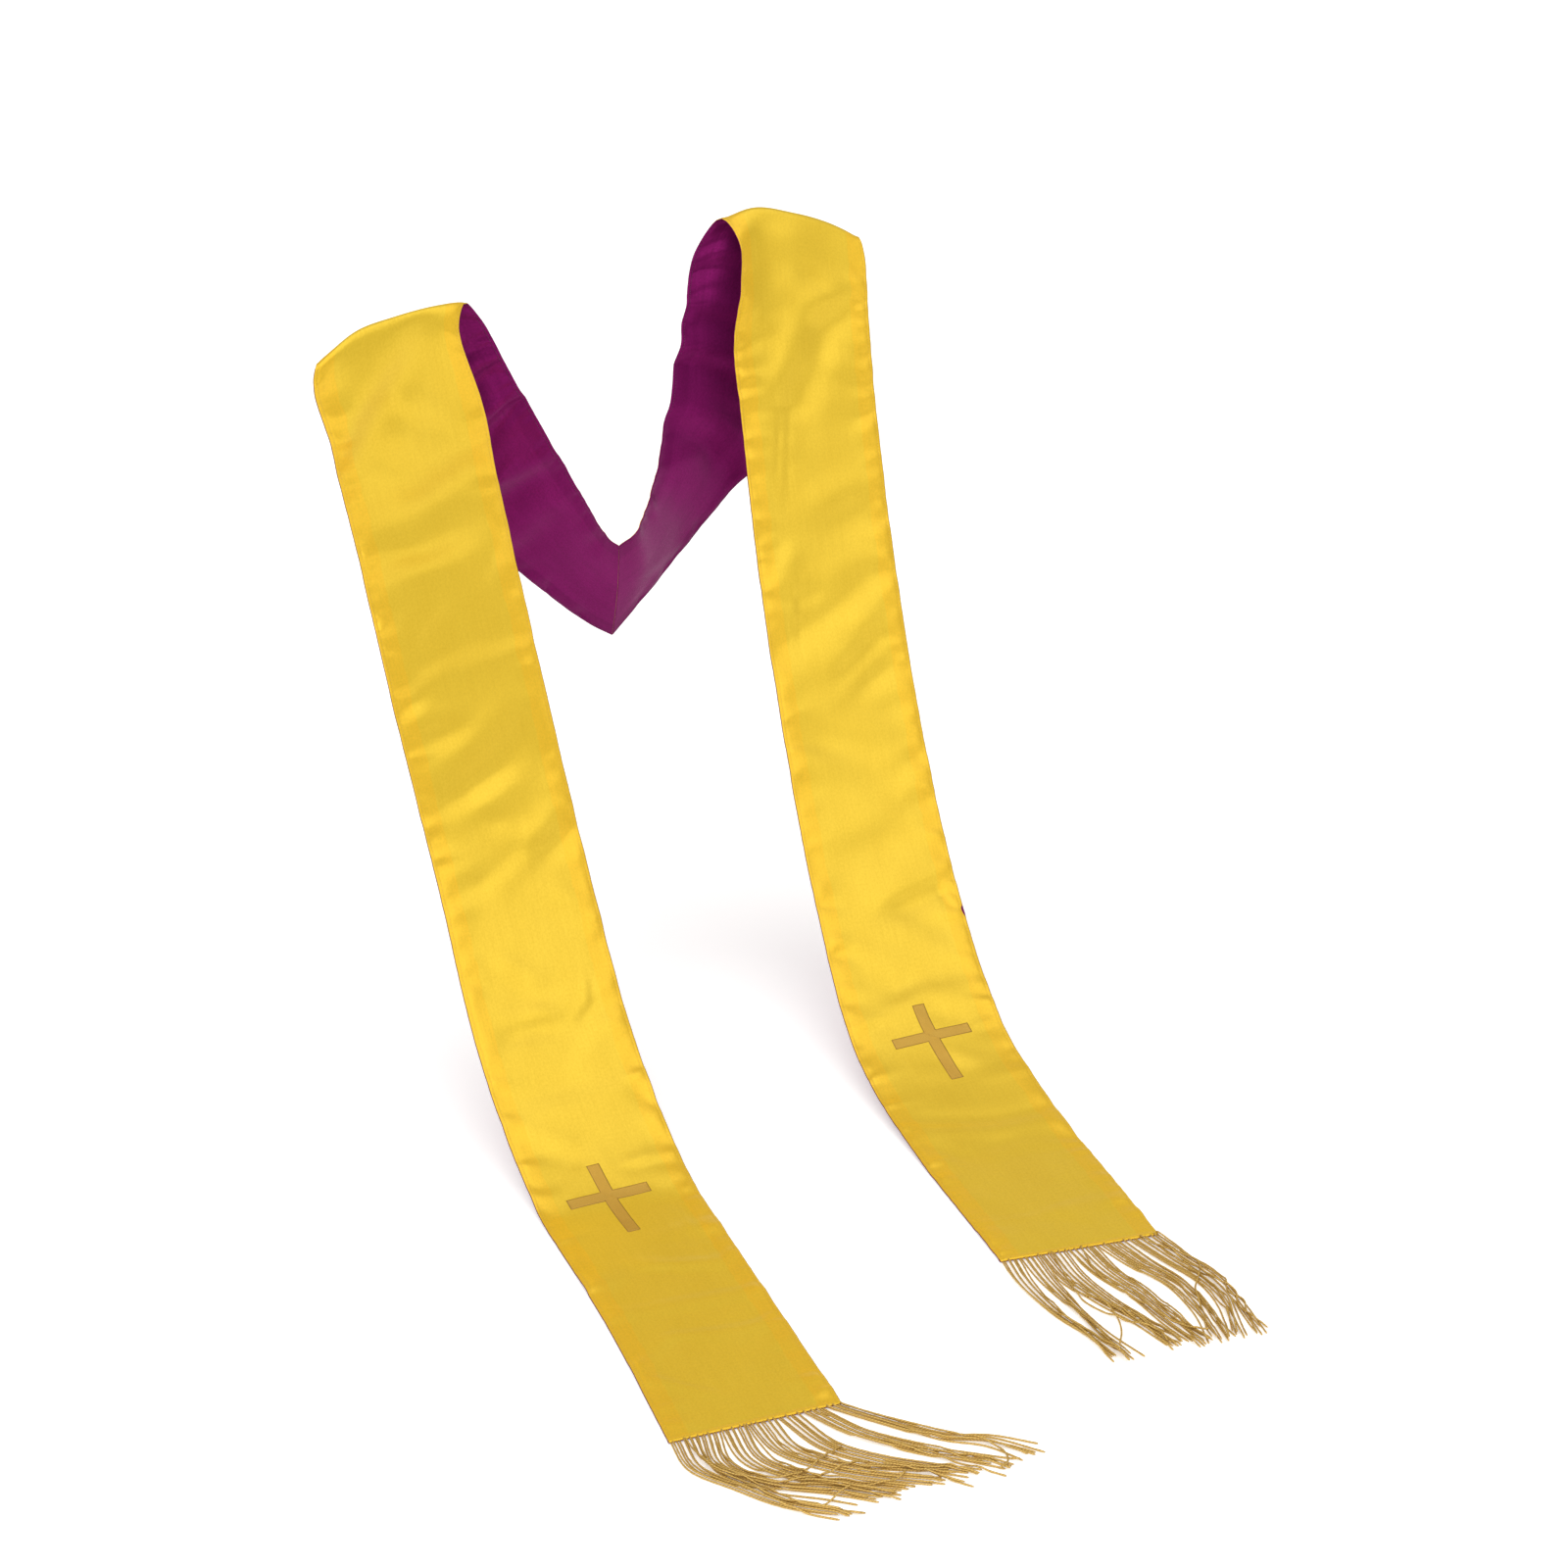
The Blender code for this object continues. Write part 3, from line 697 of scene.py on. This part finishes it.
# The topstitching. A row of small lockstitches in matching thread, 2.5 mm in from both long edges and
# the hem, through gold and purple. Each stitch is a short thread that dips into the cloth at its ends.
STITCH_PITCH = 0.0028
STITCH_LENGTH = 0.0021
STITCH_RADIUS = 0.00020
STITCH_SIDES = 5
STITCH_SINK = 0.00012
STITCH_AIM = 0.0008
STITCH_SHOULDER = 0.27
STITCH_ENDS = (0.0045, 0.003)
HEM_STITCH_ENDS = (0.0050, 0.0045)
THREAD_TWISTS = 1500
PLY_SHADE = 0.22
CORD_GLINTS = 900.0
PLY_BUMP = 0.6
PLY_DEPTH = 0.0002


def cord_material(name, light, dark, roughness, metallic, turns_per_metre, sides_per_metre):
    """Twisted thread: its colour runs from a dark one to a light one with the turns of the twist, painted
    shade in the grooves between its plies, and with fine random specks, painted glints.
    """
    material, tree, shader = new_shader(name, roughness, metallic)
    cloth = add_node(tree, "ShaderNodeUVMap", uv_map="cloth").outputs[0]
    where_on = add_node(tree, "ShaderNodeSeparateXYZ", {0: cloth})
    winding = maths(tree, 'ADD', maths(tree, 'MULTIPLY', where_on.outputs[0], sides_per_metre * math.tau),
                    maths(tree, 'MULTIPLY', where_on.outputs[1], turns_per_metre * math.tau))
    # The twist runs dark and light round the thread: as colour it is painted shade between the plies, as
    # bump it is their relief.
    ply = maths(tree, 'MULTIPLY_ADD', maths(tree, 'SINE', winding), 0.5, 0.5)
    # Fine random specks that lighten and darken the colour: painted glints.
    glints = add_node(tree, "ShaderNodeTexNoise", {"Scale": CORD_GLINTS, "Detail": 1.0})
    shade = maths(tree, 'MULTIPLY_ADD', ply, PLY_SHADE, glints.outputs[0], clamp=True)
    bump = add_node(tree, "ShaderNodeBump", {"Height": ply, "Strength": PLY_BUMP, "Distance": PLY_DEPTH})
    set_inputs(tree, shader, {"Base Color": mix_colours(tree, shade, dark, light),
                              "Normal": bump.outputs[0]})
    return material


def sew(name, strip, face, side, lines, material):
    """Rows of stitches on one face of a strip. A line is (up, across) places for the stitch middles."""
    up = np.concatenate([line[0] for line in lines])
    across = np.concatenate([line[1] for line in lines])
    turned = np.concatenate([np.full(len(line[0]), line[2]) for line in lines])
    middle = strip.place(face, up, across)
    step = np.where(turned, 0.0, STITCH_AIM)
    forward = unit(strip.place(face, up + step, across + STITCH_AIM - step) - middle)
    out = side * strip.place(strip.out, up, across)
    aside = unit(np.cross(out, forward))
    ring = [(math.cos(math.tau * k / STITCH_SIDES), math.sin(math.tau * k / STITCH_SIDES))
            for k in range(STITCH_SIDES)]
    shape = [(-0.5 * STITCH_LENGTH, 0.0, -2.0 * STITCH_SINK)]
    for part in (-STITCH_SHOULDER, STITCH_SHOULDER):
        shape += [(part * STITCH_LENGTH, x * STITCH_RADIUS, y * STITCH_RADIUS + STITCH_RADIUS - STITCH_SINK)
                  for x, y in ring]
    shape.append((0.5 * STITCH_LENGTH, 0.0, -2.0 * STITCH_SINK))
    shape = np.array(shape)
    points = (middle[:, None] + forward[:, None] * shape[None, :, 0:1] + aside[:, None] * shape[None, :, 1:2]
              + out[:, None] * shape[None, :, 2:3])
    faces = []
    last = len(shape) - 1
    for k in range(STITCH_SIDES):
        n = (k + 1) % STITCH_SIDES
        faces += [(0, 1 + n, 1 + k), (1 + k, 1 + n, 1 + STITCH_SIDES + n, 1 + STITCH_SIDES + k),
                  (1 + STITCH_SIDES + k, 1 + STITCH_SIDES + n, last)]
    starts = range(0, len(middle) * len(shape), len(shape))
    faces = [[start + corner for corner in face] for start in starts for face in faces]
    places = np.tile(shape[:, 1::-1], (len(middle), 1))
    return new_piece(name, points.reshape(-1, 3), faces, places, material)


# The dark colour of each thread is the painted shade of its twist, and its specks are painted glints.
gold_thread = cord_material("gold_thread", (0.84, 0.55, 0.07, 1.0), (0.58, 0.35, 0.02, 1.0),
                            0.5, 0.0, THREAD_TWISTS, 0)
purple_thread = cord_material("purple_thread", (0.16, 0.02, 0.11, 1.0), (0.07, 0.006, 0.045, 1.0),
                              0.5, 0.0, THREAD_TWISTS, 0)
for hand, strip in strips.items():
    along = np.arange(STITCH_ENDS[0], strip.length - STITCH_ENDS[1], STITCH_PITCH)
    over_hem = np.arange(HEM_STITCH_ENDS[0], STOLE_WIDTH - HEM_STITCH_ENDS[1], STITCH_PITCH)
    lines = [(along, np.full_like(along, STITCH_INSET), False),
             (along, np.full_like(along, STOLE_WIDTH - STITCH_INSET), False),
             (np.full_like(over_hem, HEM_STITCH_INSET), over_hem, True)]
    gold_lines = list(lines)
    if hand == "right":
        whole = along[np.abs(along - RIP_UP) > RIP_HALF_LENGTH]
        gold_lines[1] = (whole, np.full_like(whole, STOLE_WIDTH - STITCH_INSET), False)
    sew("gold_topstitch_" + hand, strip, gold_faces[hand], 1, gold_lines, gold_thread)
    sew("purple_topstitch_" + hand, strip, purple_faces[hand], -1, lines, purple_thread)

# The crosses. Each is a plain Latin cross of metallic gold thread laid close and pressed flat on the
# gold cloth, with a thin raised border, above the fringed end of each half.
CROSS_BAR = 0.0105
CROSS_ARM = 0.0335
CROSS_HEAD = 0.033
CROSS_FOOT = 0.050
CROSS_TILT = math.radians(3.5)
CROSS_ABOVE_HEM = {"left": 0.315, "right": 0.297}
CROSS_OUTWARD = {"left": 0.005, "right": 0.002}
CROSS_CELL = 0.0007
CROSS_LIFT = 0.00003
CROSS_PILE = 0.00030
CROSS_ROUND = 0.0006
CROSS_BORDER = 0.0009
CROSS_BORDER_LIFT = 0.00010
CROSS_BORDER_WIDTH = 0.0004
CROSS_RIM = 0.00004
CROSS_THREAD_PITCH = 0.00055
CROSS_SPECKLE = 700.0
SPECKLE_SHADE = 0.9
THREAD_SHADE = (0.3, -0.25)
THREAD_BUMP = 0.5
THREAD_DEPTH = 0.0002
CROSS_LIGHT = (0.84, 0.53, 0.095, 1.0)
CROSS_DARK = (0.42, 0.23, 0.026, 1.0)
CROSS_LINE = (0.26, 0.13, 0.03, 1.0)
CROSS_LINE_SHADE = 0.75
CROSS_LINE_SOFTNESS = 0.0005
CROSS_ANISOTROPY = 0.7


def bar_cells(low, high):
    """Places from one end of a bar to the other, with one on each side of the bar that crosses it."""
    half = CROSS_BAR / 2
    spans = ((low, -half), (-half, half), (half, high))
    return np.unique(np.concatenate([
        np.linspace(a, b, round((b - a) / CROSS_CELL) + 1) for a, b in spans]).round(9))


def laid_cross(hand, strip, face, material):
    """A cross that follows the gold cloth, raised at its border and closed underneath."""
    half = CROSS_BAR / 2
    y, x = np.meshgrid(bar_cells(-CROSS_FOOT, CROSS_HEAD), bar_cells(-CROSS_ARM, CROSS_ARM), indexing="ij")
    to_end = np.minimum(CROSS_HEAD - y, y + CROSS_FOOT)
    in_upright = np.minimum(half - np.abs(x), to_end)
    in_arms = np.minimum(half - np.abs(y), CROSS_ARM - np.abs(x))
    depth = np.clip(np.maximum(in_upright, in_arms), 0.0, None)
    pile = CROSS_PILE * (1 - np.exp(-(depth / CROSS_ROUND) ** 2)) + CROSS_RIM
    pile += CROSS_BORDER_LIFT * np.exp(-((depth - CROSS_BORDER) / CROSS_BORDER_WIDTH) ** 2)
    cos, sin = math.cos(CROSS_TILT), math.sin(CROSS_TILT)
    across = STOLE_WIDTH / 2 + CROSS_OUTWARD[hand] + x * cos - strip.side * y * sin
    up = CROSS_ABOVE_HEM[hand] + y * cos + strip.side * x * sin
    ground = strip.place(face, up, across)
    out = strip.place(strip.out, up, across)
    count = x.size
    index = np.arange(count).reshape(x.shape)
    middle_x = (x[:-1, :-1] + x[1:, 1:]) / 2
    middle_y = (y[:-1, :-1] + y[1:, 1:]) / 2
    kept = (np.abs(middle_x) < half) | (np.abs(middle_y) < half)
    face_quads = grid_quads(index)[kept]
    edges = {}
    for quad in face_quads.tolist():
        for a, b in zip(quad, quad[1:] + quad[:1]):
            if not edges.pop((b, a), False):
                edges[(a, b)] = True
    rim = np.array([(b, a, a + count, b + count) for a, b in edges])
    quads = np.concatenate([face_quads, face_quads[:, ::-1] + count, rim])
    if strip.side < 0:
        quads = quads[:, ::-1]
    used, renamed = np.unique(quads, return_inverse=True)
    points = np.concatenate([(ground + out * (CROSS_LIFT + pile)[..., None]).reshape(-1, 3),
                             (ground + out * CROSS_LIFT).reshape(-1, 3)])[used]
    along_bar = np.where(in_upright >= in_arms, y, x)
    places = np.stack([depth.ravel(), along_bar.ravel()], -1)
    places = np.concatenate([places, places])[used]
    return new_piece("gold_cross_" + hand, points, renamed.reshape(quads.shape).tolist(), places,
                     material, ["cross_" + hand])


metallic_gold, gold_tree, gold_shader = new_shader("metallic_gold", roughness=0.36, metallic=0.60)
bar_places = add_node(gold_tree, "ShaderNodeUVMap", uv_map="cloth").outputs[0]
bar_axes = add_node(gold_tree, "ShaderNodeSeparateXYZ", {0: bar_places})
laid = maths(gold_tree, 'MULTIPLY', bar_axes.outputs[1], math.tau / CROSS_THREAD_PITCH)
laid = maths(gold_tree, 'MULTIPLY_ADD', maths(gold_tree, 'SINE', laid), 0.5, 0.5)
speckle = add_node(gold_tree, "ShaderNodeTexNoise", {"Scale": CROSS_SPECKLE, "Detail": 2.0})
border_line = band(gold_tree, bar_axes.outputs[0], CROSS_BORDER, CROSS_LINE_SOFTNESS)
gold_shade = maths(gold_tree, 'MULTIPLY_ADD', speckle.outputs[0], SPECKLE_SHADE,
                   maths(gold_tree, 'MULTIPLY_ADD', laid, *THREAD_SHADE), clamp=True)
thread_colour = mix_colours(gold_tree, gold_shade, CROSS_DARK, CROSS_LIGHT)
bordered = mix_colours(gold_tree, maths(gold_tree, 'MULTIPLY', border_line, CROSS_LINE_SHADE),
                       thread_colour, CROSS_LINE)
laid_bump = add_node(gold_tree, "ShaderNodeBump", {"Height": laid, "Strength": THREAD_BUMP,
                                                   "Distance": THREAD_DEPTH})
bar_tangent = add_node(gold_tree, "ShaderNodeTangent", direction_type='UV_MAP', uv_map="cloth")
set_inputs(gold_tree, gold_shader, {
    "Base Color": bordered, "Normal": laid_bump.outputs[0], "Anisotropic": CROSS_ANISOTROPY,
    "Tangent": bar_tangent.outputs[0]})
crosses = {hand: laid_cross(hand, strip, gold_faces[hand], metallic_gold)
           for hand, strip in strips.items()}

# The fringes. Each hem has a row of twisted gold cords, about 145 mm long, sewn in between gold and
# purple in pairs. They lie on the floor in loose locks that sweep to the viewer's right and over one
# another, with a few loose cords across them.
CORDS = 58
CORD_RADIUS = 0.00070
CORD_LENGTH = 0.147
CORD_SPREAD = 0.035
CORD_RING_STEP = 0.0016
CORD_SIDES = 6
CORD_TWISTS = 420
CORD_SIDE_TURNS = 1000
CORD_MAP_GAP = 0.2
CORDS_IN_CLUMP = 4
CLUMP_CLOSENESS = 0.85
PAIR_CLOSENESS = 0.16
ROOT_WANDER = 0.12
LOCK_WANDER = 0.10
SETTLED = 0.92
SWAY = (0.0003, 0.0010)
SWAY_WAVES = (3, 10)
SWAY_START = (0, 6.3)
STRAY = 0.014
CORD_UNEVEN = 0.07
CORD_WAVES = 700
CORD_TIP = 0.55
PILE_CELL = 0.0004
PILE_SLOPE = 0.30
PILE_MARGIN = 0.02
GUIDE_STEPS = 16
LOOSE_STEPS = 10

# A lock reaches from the one before it to this share of the hem, from the neck edge, and is gathered
# to this width, in metres, at its tip. Its route lies on the floor, in millimetres.
Lock = namedtuple("Lock", "reach tip_width route")

LEFT_LOCKS = [
    Lock(0.10, 0.006, [(341, -569), (373, -586), (413, -605), (446, -609), (481, -626)]),
    Lock(0.24, 0.013, [(329, -574), (360, -600), (399, -618), (432, -628), (458, -635)]),
    Lock(0.39, 0.014, [(312, -581), (339, -615), (372, -631), (405, -640), (440, -649)]),
    Lock(0.55, 0.014, [(294, -588), (311, -620), (341, -639), (374, -648), (421, -654)]),
    Lock(0.70, 0.012, [(275, -595), (289, -631), (319, -651), (352, -659), (399, -667)]),
    Lock(0.84, 0.011, [(256, -602), (266, -637), (299, -659), (339, -666), (384, -676)]),
    Lock(1.00, 0.007, [(238, -609), (250, -640), (277, -660), (310, -681), (360, -692)]),
]
LEFT_LOOSE = [
    [(259, -609), (267, -630), (285, -648), (303, -654), (316, -650), (326, -641), (334, -630), (345, -617)],
    [(247, -610), (255, -633), (275, -651), (300, -658), (318, -656), (335, -650), (348, -641), (360, -635),
     (372, -632)],
    [(280, -593), (306, -638), (339, -658), (365, -661), (381, -657), (388, -647), (382, -637), (369, -633),
     (353, -636)],
    [(239, -610), (257, -642), (285, -658), (310, -674), (332, -681), (344, -670), (354, -663), (364, -653)],
    [(345, -568), (373, -583), (413, -600), (439, -610), (455, -622), (456, -637), (445, -644), (438, -638)],
]

RIGHT_LOCKS = [
    Lock(0.12, 0.0045, [(476, -383), (485, -414), (506, -456), (525, -481), (541, -506)]),
    Lock(0.24, 0.0045, [(488, -379), (499, -410), (519, -451), (532, -479), (545, -504)]),
    Lock(0.42, 0.014, [(505, -373), (518, -406), (541, -439), (563, -463), (584, -490)]),
    Lock(0.60, 0.014, [(529, -365), (544, -396), (567, -427), (585, -459), (602, -484)]),
    Lock(0.78, 0.012, [(552, -358), (572, -387), (595, -414), (609, -446), (618, -481)]),
    Lock(0.92, 0.010, [(572, -352), (593, -381), (616, -411), (628, -440), (634, -478)]),
    Lock(1.00, 0.007, [(585, -348), (604, -376), (624, -405), (637, -438), (645, -470)]),
]
RIGHT_LOOSE = [
    [(575, -350), (586, -362), (603, -374), (615, -387), (614, -401), (608, -423), (609, -441), (612, -460)],
    [(588, -345), (598, -354), (611, -376), (623, -390), (632, -409), (632, -426), (642, -436), (642, -452),
     (650, -472)],
    [(586, -346), (597, -371), (615, -398), (626, -413), (637, -423), (637, -444), (643, -456), (655, -471)],
    [(498, -376), (507, -404), (522, -426), (537, -439), (547, -456), (549, -475), (546, -493)],
    [(506, -373), (515, -407), (525, -436), (543, -455), (560, -468), (576, -480), (580, -491)],
    [(529, -366), (540, -404), (566, -439), (582, -462), (593, -471), (601, -477), (618, -475)],
]


class CordPile:
    """The height of the cords laid so far, over a patch of floor."""

    def __init__(self, low, high):
        self.low = low - PILE_MARGIN
        size = np.ceil((high + PILE_MARGIN - self.low) / PILE_CELL).astype(int)
        self.height = np.full(size, FLOOR)
        reach = math.ceil(CORD_RADIUS / PILE_CELL)
        self.around = [(i, j) for i in range(-reach, reach + 1) for j in range(-reach, reach + 1)]

    def cells(self, places, shift):
        cell = ((places - self.low) / PILE_CELL).astype(int) + shift
        cell = np.clip(cell, 0, np.array(self.height.shape) - 1)
        return cell[:, 0], cell[:, 1]

    def lay(self, places, root_height):
        """Heights of the middle of a cord that comes down from its root and rides over the pile."""
        middle = np.full(len(places), FLOOR)
        for shift in self.around:
            middle = np.maximum(middle, self.height[self.cells(places, shift)])
        middle += CORD_RADIUS
        middle[0] = max(middle[0], root_height)
        fall = np.linalg.norm(np.diff(places, axis=0), axis=1) * PILE_SLOPE
        for k in range(1, len(middle)):
            middle[k] = max(middle[k], middle[k - 1] - fall[k - 1])
        for k in range(len(middle) - 2, -1, -1):
            middle[k] = max(middle[k], middle[k + 1] - fall[k])
        smooth = np.convolve(np.pad(middle, 2, mode="edge"), np.ones(5) / 5, mode="valid")
        middle = np.maximum(middle, smooth)
        for shift in self.around:
            aside = math.hypot(*shift) * PILE_CELL
            if aside < CORD_RADIUS:
                top = middle + math.sqrt(CORD_RADIUS ** 2 - aside ** 2)
                np.maximum.at(self.height, self.cells(places, shift), top)
        return middle


def lock_path(guide, root, offset, random):
    """One cord's way over the floor: from its root at the hem into its lock, with small waves."""
    far = distance_along(guide)
    share = far / far[-1]
    ahead = unit(np.gradient(guide, axis=0))
    aside = np.stack([-ahead[:, 1], ahead[:, 0]], -1)
    settle = np.clip(share / SETTLED, 0, 1)
    settle = settle * settle * (3 - 2 * settle)
    sway = random.uniform(*SWAY) * np.sin(share * random.uniform(*SWAY_WAVES) + random.uniform(*SWAY_START))
    stray = random.uniform(-1, 1) ** 5 * STRAY * share ** 2.5
    path = guide + (root - guide[0]) * (1 - settle)[:, None]
    return path + aside * ((offset + sway) * settle + stray)[:, None]


def wind_cord(path, length, number, pile, mesh_parts):
    """A round cord of one length along a path, laid on the pile and added to the parts of the mesh."""
    far = distance_along(path)
    if far[-1] < length:
        more = (path[-1] - path[-2]) * (length - far[-1]) / (far[-1] - far[-2])
        path = np.vstack([path, path[-1] + more])
        far = distance_along(path)
    rings = round(length / CORD_RING_STEP)
    run = np.linspace(0.0, length, rings + 1)
    line = np.stack([np.interp(run, far, path[:, k]) for k in range(2)], -1)
    padded = np.pad(line, ((2, 2), (0, 0)), mode="reflect", reflect_type="odd")
    line = sum(padded[k:k + len(line)] for k in range(5)) / 5
    centre = np.column_stack([line, pile.lay(line, LYING_HEIGHT)])
    forward = unit(np.gradient(centre, axis=0))
    left = unit(np.cross((0.0, 0.0, 1.0), forward))
    upward = np.cross(forward, left)
    radius = CORD_RADIUS * (1 + CORD_UNEVEN * np.sin(run * CORD_WAVES + number))
    radius[-1] *= CORD_TIP
    angle = math.tau * np.arange(CORD_SIDES) / CORD_SIDES
    ring = (centre[:, None] + left[:, None] * (np.cos(angle) * radius[:, None])[..., None]
            + upward[:, None] * (np.sin(angle) * radius[:, None])[..., None])
    points, faces, places = mesh_parts
    index = sum(len(part) for part in points) + np.arange((rings + 1) * CORD_SIDES).reshape(-1, CORD_SIDES)
    after = np.roll(index, -1, axis=1)
    faces += np.stack([index[:-1], after[:-1], after[1:], index[1:]], -1).reshape(-1, 4).tolist()
    faces += [index[0][::-1].tolist(), index[-1].tolist()]
    points.append(ring.reshape(-1, 3))
    around = np.arange(CORD_SIDES)[None] / CORD_SIDES / CORD_SIDE_TURNS
    along = run[:, None] + CORD_MAP_GAP * number
    places.append(np.stack(np.broadcast_arrays(around, along), -1).reshape(-1, 2))


def fringe(hand, strip, locks, loose, seed):
    """All the cords of one hem, laid in a random order, and then the loose ones on top."""
    random = np.random.default_rng(seed)
    neck, outer = strip.middle[0, 0, :2], strip.middle[0, -1, :2]
    routes = [np.array(lock.route) / 1000 for lock in locks]
    guides = [smooth_rows(route, GUIDE_STEPS) for route in routes]
    every = np.concatenate(routes)
    pile = CordPile(every.min(0), every.max(0))
    starts = [0.0] + [lock.reach for lock in locks[:-1]]
    mesh_parts = [], [], []
    for cord in random.permutation(CORDS):
        wander = random.uniform(-ROOT_WANDER, ROOT_WANDER)
        root_part = (cord + 0.5 + PAIR_CLOSENESS * (-1) ** cord + wander) / CORDS
        chosen = int(np.searchsorted(starts, root_part, side="right")) - 1
        clump = (cord // CORDS_IN_CLUMP + 0.5) * CORDS_IN_CLUMP / CORDS
        part = clump + (root_part - clump) * CLUMP_CLOSENESS
        in_lock = (part - starts[chosen]) / (locks[chosen].reach - starts[chosen]) - 0.5
        in_lock += random.uniform(-LOCK_WANDER, LOCK_WANDER)
        offset = locks[chosen].tip_width * in_lock * strip.side
        path = lock_path(guides[chosen], neck + (outer - neck) * root_part, offset, random)
        length = CORD_LENGTH * (1 + random.uniform(-CORD_SPREAD, CORD_SPREAD))
        wind_cord(path, length, int(cord), pile, mesh_parts)
    for number, route in enumerate(loose):
        path = smooth_rows(np.array(route) / 1000, LOOSE_STEPS)
        wind_cord(path, min(CORD_LENGTH, distance_along(path)[-1]), CORDS + number, pile, mesh_parts)
    points, faces, places = mesh_parts
    return new_piece("gold_fringe_" + hand, np.concatenate(points), faces, np.concatenate(places),
                     gold_cord, ["fringe_" + hand])


# The very dark colour is painted shade between the cords and in their twist; the light one carries the
# painted glints.
gold_cord = cord_material("gold_cord", (0.84, 0.55, 0.14, 1.0), (0.15, 0.075, 0.012, 1.0), 0.38, 0.42,
                          CORD_TWISTS, CORD_SIDE_TURNS)
fringes = {"left": fringe("left", strips["left"], LEFT_LOCKS, LEFT_LOOSE, 5),
           "right": fringe("right", strips["right"], RIGHT_LOCKS, RIGHT_LOOSE, 8)}
